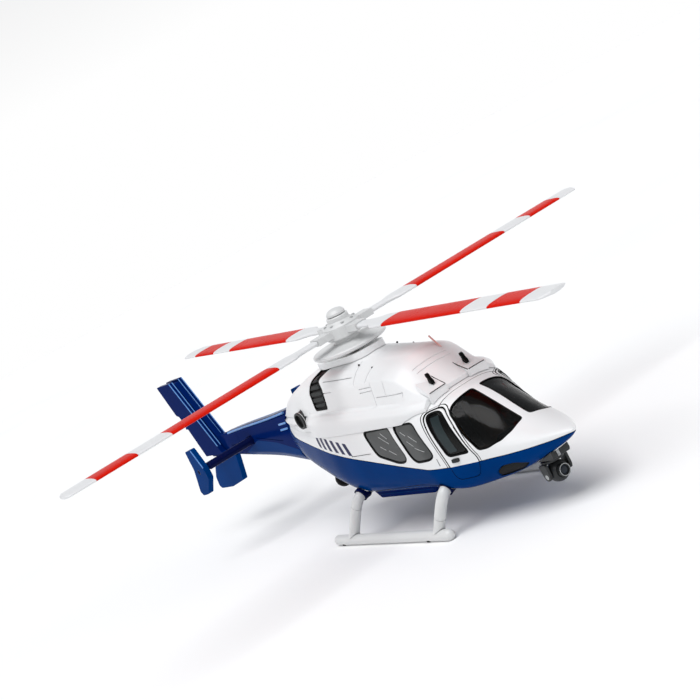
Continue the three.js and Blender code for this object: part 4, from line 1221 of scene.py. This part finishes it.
def build_stabiliser():
    half = STABILISER_HALF_SPAN
    bar = side_prism(STABILISER, -half, half, 1)
    dress(bar, "stabiliser_look", NAVY, "navy_bar", stands_for="stabiliser", bevel=0.4)
    inner = -half - GAP
    plate = side_prism(ENDPLATE, inner - PLATE, inner, 1.2)
    hole_at = (-166, inner - PLATE / 2, 50.8)
    plate = cut(plate, drum(ENDPLATE_HOLE, 8, "y", hole_at))
    dress_pair(plate, "endplate_look", BLUE, "blue_hull", node="endplate", bevel=0.35)
    # A light-blue strip along each endplate's front edge: a painted highlight.
    rim_y = inner - PLATE + 0.12
    highlight = tube([(-161.9, rim_y, 63.8), (-159.3, rim_y, 58.2), (-157, rim_y, 52.8)], 0.3, 10, 4)
    dress_pair(highlight, "endplate_edge_highlight", HIGHLIGHT_BLUE, "blue_hull")
    bush = turned_at(collar(0.9, ENDPLATE_HOLE - 0.05, -1.5, 1.5), "y", hole_at, 32)
    dress_pair(bush, "endplate_bush", NAVY, "navy_bar")


def build_fin():
    half = PLATE / 2
    core = side_prism(FIN_CORE, -half, half, 1)
    dress(core, "fin_core_look", DEEP_BLUE, "blue_hull", stands_for="fin_core", bevel=0.3)
    inner = -half - GAP
    outer = inner - PLATE + GAP
    plate = side_prism(FIN_PLATE, outer, inner, 1)
    dress_pair(plate, "fin_plate_look", DEEP_BLUE, "blue_hull", node="fin_plate", bevel=0.3)
    # Light-blue strips along the plates' front and top edges: painted highlights.
    for i, y in enumerate((outer + 0.35, inner - 0.35)):
        edge = tube([(-213, y, 52.4), (-235.8, y, 96.1)], 0.3, 10, 6)
        dress_pair(edge, f"fin_edge_{i + 1}", HIGHLIGHT_BLUE, "blue_hull")
        top = tube([(-237.2, y, 96.15), (-246.6, y, 96.15), (-256, y, 96.15)], 0.24, 10, 4)
        dress_pair(top, f"fin_top_edge_{i + 1}", HIGHLIGHT_BLUE, "blue_hull")
    clear_core = side_prism(grown(FIN_CORE, 1.5 * GAP), -PLATE, PLATE)
    ventral = cut(side_prism(VENTRAL, -half, half, 1), clear_core)
    dress(ventral, "ventral_fin_look", BLUE, "blue_hull", stands_for="ventral_fin", bevel=0.35)
    patch = side_prism(FIN_PATCH, outer - 0.12, outer + 1, 0.3)
    dress_pair(patch, "fin_patch", BLUE, "blue_hull", bevel=0.1)


def tail_rotor_outline():
    """Two broad blades that narrow towards the boss."""
    tip = TAIL_ROTOR["radius"]
    return [
        (-2.4, -tip), (2, -tip), (3, -8), (1.8, 0), (3, 8), (2, tip), (-2.4, tip), (-3, 8),
        (-1.8, 0), (-3, -8),
    ]


def build_tail_rotor():
    face = PLATE / 2 + PLATE
    boss_length = 2.4
    length = TAIL_ROTOR["y"] - boss_length / 2 - GAP - face - GAP
    centre = (TAIL_ROTOR["x"], face + GAP + length / 2, TAIL_ROTOR["z"])
    gearbox = drum(4, length, "y", centre, edge=0.4)
    dress(gearbox, "tail_gearbox_look", CHARCOAL, "dark_fitting", stands_for="tail_gearbox")
    boss = drum(2.8, boss_length, "y", (0, 0, 0), edge=0.3)
    rotor = union(boss, side_prism(tail_rotor_outline(), -0.8, 0.8, 0.8))
    turn = Matrix.Rotation(TAIL_ROTOR["rest"], 4, "Y")
    moved(rotor, Matrix.Translation((TAIL_ROTOR["x"], TAIL_ROTOR["y"], TAIL_ROTOR["z"])) @ turn)
    dress(rotor, "tail_rotor_look", BLACK, "black_trim", "tail_rotor", "tail_rotor", bevel=0.2)


# ---------- Landing gear ----------
SKID_Y = 31.2
SKID_RADIUS = 2.6
SKID_CENTRE_Z = 1.6
SKID_FRONT_X = 64.4
STRUT_RADIUS = 2.6
FRONT_STRUT = [(60, -14, 20.4), (64, -26, 17.8), (53.2, -SKID_Y, 2.2)]
REAR_STRUT = [(-22, -14, 21), (-18.6, -26, 19.4), (-32.6, -SKID_Y, 2.2)]
SOCKET_SPAN = slice(18, 33)  # the stretch of a leg's path, in steps, that its socket grips
KEEL = [(-20, 18), (-16, 14.6), (38, 14.6), (42.6, 19), (42.6, 24), (-20, 24)]
KEEL_HALF = 15.6
CLIP_X = (-43.5, 43.9)
POD = {"radius": 4.4, "length": 12, "centre": (-67.5, 0, 23.2)}


def build_skids():
    """Tubes with domed ends and a flat sole, with a dark clip notch near each end."""
    arc = [math.radians(15 * k) for k in range(7)]
    rear_end = [(SKID_RADIUS * math.sin(a), SKID_REAR_X + SKID_RADIUS * (1 - math.cos(a))) for a in arc]
    front_end = [(r, SKID_FRONT_X + SKID_REAR_X - x) for r, x in reversed(rear_end)]
    bar = turned_at(rear_end + front_end, "x", (0, -SKID_Y, SKID_CENTRE_Z), 48)
    under = box_between((-80, -50, -20), (90, -10, SKID_SOLE_Z))
    notches = [
        box_between((x - 1.6, -SKID_Y - 2.9, SKID_SOLE_Z - 1), (x + 1.6, -SKID_Y - 0.6, 0.3))
        for x in CLIP_X
    ]
    bar = cut(bar, under, *notches)
    dress_pair(bar, "skid_look", PALE, "pale_fitting", node="skid")
    for i, x in enumerate(CLIP_X):
        clip = box_between((x - 1.3, -SKID_Y - 1.9, SKID_SOLE_Z + 0.1), (x + 1.3, -SKID_Y - 0.7, 0.2))
        dress_pair(clip, f"skid_clip_{i + 1}", BLACK, "black_trim", bevel=0.15)


def build_struts():
    clear_skid = drum(SKID_RADIUS + GAP, 140, "x", (6, -SKID_Y, SKID_CENTRE_Z))
    side = KEEL_HALF + GAP
    clear_keel = side_prism(grown(KEEL, GAP), -side, side)
    for name, path, ring_at in (("front_strut", FRONT_STRUT, 0.8), ("rear_strut", REAR_STRUT, 0.62)):
        leg = cut(tube(path, STRUT_RADIUS, 40, 20), clear_body, clear_skid, clear_keel)
        way = smooth_path(path, 40)
        i = int(ring_at * (len(way) - 1))
        along = (way[i + 1] - way[i - 1]).normalized()
        turn = along.to_track_quat("Z", "Y").to_matrix().to_4x4()
        groove = turned(collar(STRUT_RADIUS - 0.25, STRUT_RADIUS + 0.8, -0.22, 0.22), 48)
        leg = cut(leg, moved(groove, Matrix.Translation(way[i]) @ turn))
        dress_pair(leg, f"{name}_look", PALE, "pale_fitting", node=name)
        socket = cut(tube(way[SOCKET_SPAN], STRUT_RADIUS + 0.8, 40, 1), clear_body, clear_keel)
        socket = cut(socket, tube(path, STRUT_RADIUS + 0.05, 40, 20))
        dress_pair(socket, f"{name}_socket", NAVY, "navy_bar", bevel=0.25)


def build_keel():
    keel = cut(side_prism(KEEL, -KEEL_HALF, KEEL_HALF, 0.8), clear_body)
    dress(keel, "keel_look", DEEP_BLUE, "blue_hull", stands_for="keel_block", bevel=0.3)
    for i, z in enumerate((16.4, 18)):
        strip = tube([(-15, -KEEL_HALF, z), (12, -KEEL_HALF, z), (37.5, -KEEL_HALF, z)], 0.22, 10, 4)
        dress_pair(strip, f"keel_strip_{i + 1}", BLUE, "blue_hull")
    arc = [math.radians(9 * k) for k in range(11)]
    end = [(POD["radius"] * math.sin(a), POD["radius"] * math.cos(a) + POD["length"] / 2) for a in arc]
    pod = turned_at([(r, -y) for r, y in end] + end[::-1], "y", POD["centre"], 48)
    dress(cut(pod, clear_body), "belly_pod_look", BLACK, "black_trim", stands_for="belly_pod")


# ---------- Camera turret ----------
TURRET = Vector((114.5, 0, 11.7))
TURRET_RADIUS = 4.6
BRACKET = [(106, 18.1), (122.6, 18.1), (123.4, 19.4), (123, 25), (106, 25)]
LENS_RADIUS = 2.8
LENS_BARREL = [
    (0, -1.1), (2.6, -1.1), (LENS_RADIUS, -0.9), (LENS_RADIUS, 0.9), (2.6, 1.1), (2.3, 1.1),
    (2.1, 0.9), (1.9, 0.3), (0, 0.3),
]


def build_turret():
    bracket = cut(side_prism(BRACKET, -TURRET_RADIUS, TURRET_RADIUS, 0.6), clear_body)
    dress(bracket, "bracket_look", CHARCOAL, "dark_fitting", stands_for="camera_bracket", bevel=0.3)
    # A pale strip on the bracket's front edge: a painted highlight.
    strip = cut(box_between((122.2, -2, 18.7), (123.6, -0.8, 24)), clear_body)
    dress(strip, "bracket_edge_highlight", GREY_TRIM_AND_HIGHLIGHT, "dark_fitting", bevel=0.15)
    disc = drum(5, 1.1, "z", TURRET + Vector((0, 0, 5.45)), edge=0.25)
    arm_outline = [(-2.2, 0), (-1.3, -1.8), (1.3, -1.8), (2.2, 0), (2.4, 5.2), (-2.4, 5.2)]
    placed = [(TURRET.x + x, TURRET.z + z) for x, z in arm_outline]
    inner, arm_width = -TURRET_RADIUS - GAP, 1.2
    arm = side_prism(placed, inner - arm_width, inner, 0.9)
    yoke = union(disc, arm, mirrored(arm))
    dress(yoke, "yoke_look", CHARCOAL, "dark_fitting", "camera_yoke", "camera_yoke", bevel=0.2)
    pivot = drum(1.1, 0.24, "y", (TURRET.x, inner - arm_width, TURRET.z), edge=0.1, sides=32)
    dress_pair(pivot, "yoke_pivot", GREY_TRIM_AND_HIGHLIGHT, "dark_fitting", ("camera_yoke", "camera_yoke"))
    face = TURRET.x + TURRET_RADIUS
    sphere = cut(ball(TURRET_RADIUS, TURRET), drum(LENS_RADIUS + GAP, 4, "x", (face, 0, TURRET.z)))
    band_radius = TURRET_RADIUS - 0.2
    band = collar(band_radius, band_radius + 0.5, -0.18, 0.18)
    sphere = cut(sphere, turned_at(band, "x", TURRET - Vector((1.4, 0, 0))))
    dress(sphere, "camera_ball_look", CHARCOAL, "dark_fitting", "camera_ball", "camera_ball")
    lens_at = (face - 2 * GAP, 0, TURRET.z)
    barrel = turned_at(LENS_BARREL, "x", lens_at)
    dress(barrel, "camera_lens_look", CHARCOAL, "black_trim", "camera_ball", "camera_lens")
    glass = turned_at([(0, 0.32), (1.85, 0.32), (1.5, 0.62), (0.9, 0.82), (0, 0.9)], "x", lens_at)
    dress(glass, "camera_lens_glass", LENS_GLASS, "black_trim", "camera_ball", sharp=60)
    ring = turned_at(collar(2.3, 2.58, 1.05, 1.16), "x", lens_at)
    dress(ring, "camera_lens_ring", GREY_TRIM_AND_HIGHLIGHT, "black_trim", "camera_ball")


# ---------- Cabin fittings ----------
SEAT = [
    (62, 19.6), (80, 19.6), (82, 26.6), (80, 29), (69, 28.4), (64.6, 49), (58.6, 49.4), (60.6, 26),
]
PANEL = [(97, 24.4), (103.4, 24.8), (103.8, 31.4), (100, 34.4), (96.6, 32)]
HANDLE = [(80, 30.4), (84, 30.2), (84.4, 31.9), (80.4, 32.1)]


def build_cabin_fittings():
    seat = side_prism(SEAT, -14.6, -4.4, 1.6)
    dress_pair(seat, "seat_look", SEAT_TAN, "tan_seat", node="seat", bevel=0.7)
    panel = side_prism(PANEL, -9, 9, 1)
    dress(panel, "panel_look", CHARCOAL, "dark_fitting", stands_for="instrument_panel", bevel=0.4)
    dials = [drum(1.3, 0.4, "x", (96.9, y, 29.4), edge=0.1, sides=32) for y in (-6, -2.6, 2.6, 6)]
    for i, dial in enumerate(dials):
        dress(dial, f"dial_{i + 1}", PALE, "dark_fitting")
    bar = side_prism(HANDLE, -28, -20, 0.7)
    handle = cut(common(bar, body_solid(0.9)), clear_body)
    dress_pair(handle, "door_handle_look", RIB_GREY, "pale_fitting", DOOR_BODIES, node="door_handle")


# ---------- Stage, in metres ----------
FLOOR_HALF = 12
SUN_STRENGTH = 2.15
SUN_SPREAD = math.radians(50)
SUN_HEADING = Vector((-0.25, 0.3, -1))
CAMERA_PLACE = (0.72, -0.3215, 0.1572)
CAMERA_FORWARD = Vector((-0.898, 0.429, -0.097)).normalized()
CAMERA_RIGHT = Vector((0.422, 0.776, -0.469))
CAMERA_LENS = 83.17


def build_stage():
    floor_mesh = bpy.data.meshes.new("floor")
    half = FLOOR_HALF
    corners = [(-half, -half, 0), (half, -half, 0), (half, half, 0), (-half, half, 0)]
    floor_mesh.from_pydata(corners, [], [(0, 1, 2, 3)])
    floor = bpy.data.objects.new("floor", floor_mesh)
    bpy.context.scene.collection.objects.link(floor)
    surface = Surface("pale_floor")
    stops = [(0.3, [0.9, 0.9, 0.9, 1]), (0.7, [0.94, 0.94, 0.94, 1])]
    surface.set_colour(surface.ramp(surface.noise(3, 2), stops))
    surface.shader.inputs["Roughness"].default_value = 0.9
    floor_mesh.materials.append(surface.material)

    bpy.context.scene.view_settings.view_transform = "Standard"


def build_world():
    """A studio sky: bright near the horizon, where it meets the floor, and dimmer overhead."""
    world = bpy.data.worlds.new("studio")
    world.use_nodes = True
    tree = world.node_tree
    height = tree.nodes.new("ShaderNodeSeparateXYZ")
    direction = tree.nodes.new("ShaderNodeTexCoord")
    tree.links.new(direction.outputs["Generated"], height.inputs["Vector"])
    sky = tree.nodes.new("ShaderNodeValToRGB")
    sky.color_ramp.elements[0].position = 0.12
    sky.color_ramp.elements[0].color = (1, 1, 1, 1)
    sky.color_ramp.elements[1].position = 0.5
    sky.color_ramp.elements[1].color = (0.42, 0.43, 0.45, 1)
    tree.links.new(height.outputs["Z"], sky.inputs["Fac"])
    tree.links.new(sky.outputs["Color"], tree.nodes["Background"].inputs["Color"])
    bpy.context.scene.world = world


def build_lights():
    """One broad soft sun from above and ahead, so the floor is evenly lit as far as it goes."""
    light = bpy.data.lights.new("soft_sun", "SUN")
    light.energy = SUN_STRENGTH
    light.angle = SUN_SPREAD
    lamp = bpy.data.objects.new("soft_sun", light)
    lamp.rotation_euler = SUN_HEADING.to_track_quat("-Z", "Y").to_euler()
    bpy.context.scene.collection.objects.link(lamp)


def build_camera():
    """A view from a little above the nose, off the starboard bow, rolled so that the toy banks."""
    camera_data = bpy.data.cameras.new("camera")
    camera_data.sensor_width = 36
    camera_data.lens = CAMERA_LENS
    camera_data.clip_start = 0.01
    camera = bpy.data.objects.new("camera", camera_data)
    forward = CAMERA_FORWARD
    right = (CAMERA_RIGHT - forward * CAMERA_RIGHT.dot(forward)).normalized()
    turn = Matrix((right, right.cross(forward), -forward)).transposed().to_4x4()
    camera.matrix_world = Matrix.Translation(CAMERA_PLACE) @ turn
    bpy.context.scene.collection.objects.link(camera)
    bpy.context.scene.camera = camera


def finish_bush():
    """The shaft's bush stays as the CAD made it, so only its material is set."""
    materials = frame["nodes"]["shaft_bush"].data.materials
    materials.clear()
    materials.append(CHARCOAL)


BUILDERS = [
    build_hull, build_cabin, build_doors, build_seals, build_glazing, build_glass_prints,
    build_side_marking, build_cowling, build_louvres, build_exhausts, build_roof_fittings,
    build_mast_fairing, build_hub, build_blades, build_boom, build_stabiliser, build_fin,
    build_tail_rotor, build_skids, build_struts, build_keel, build_turret, build_cabin_fittings,
    finish_bush, build_stage, build_world, build_lights, build_camera,
]
for build in BUILDERS:
    build()

for leftover in list(workshop.objects):
    bpy.data.objects.remove(leftover)
bpy.data.collections.remove(workshop)
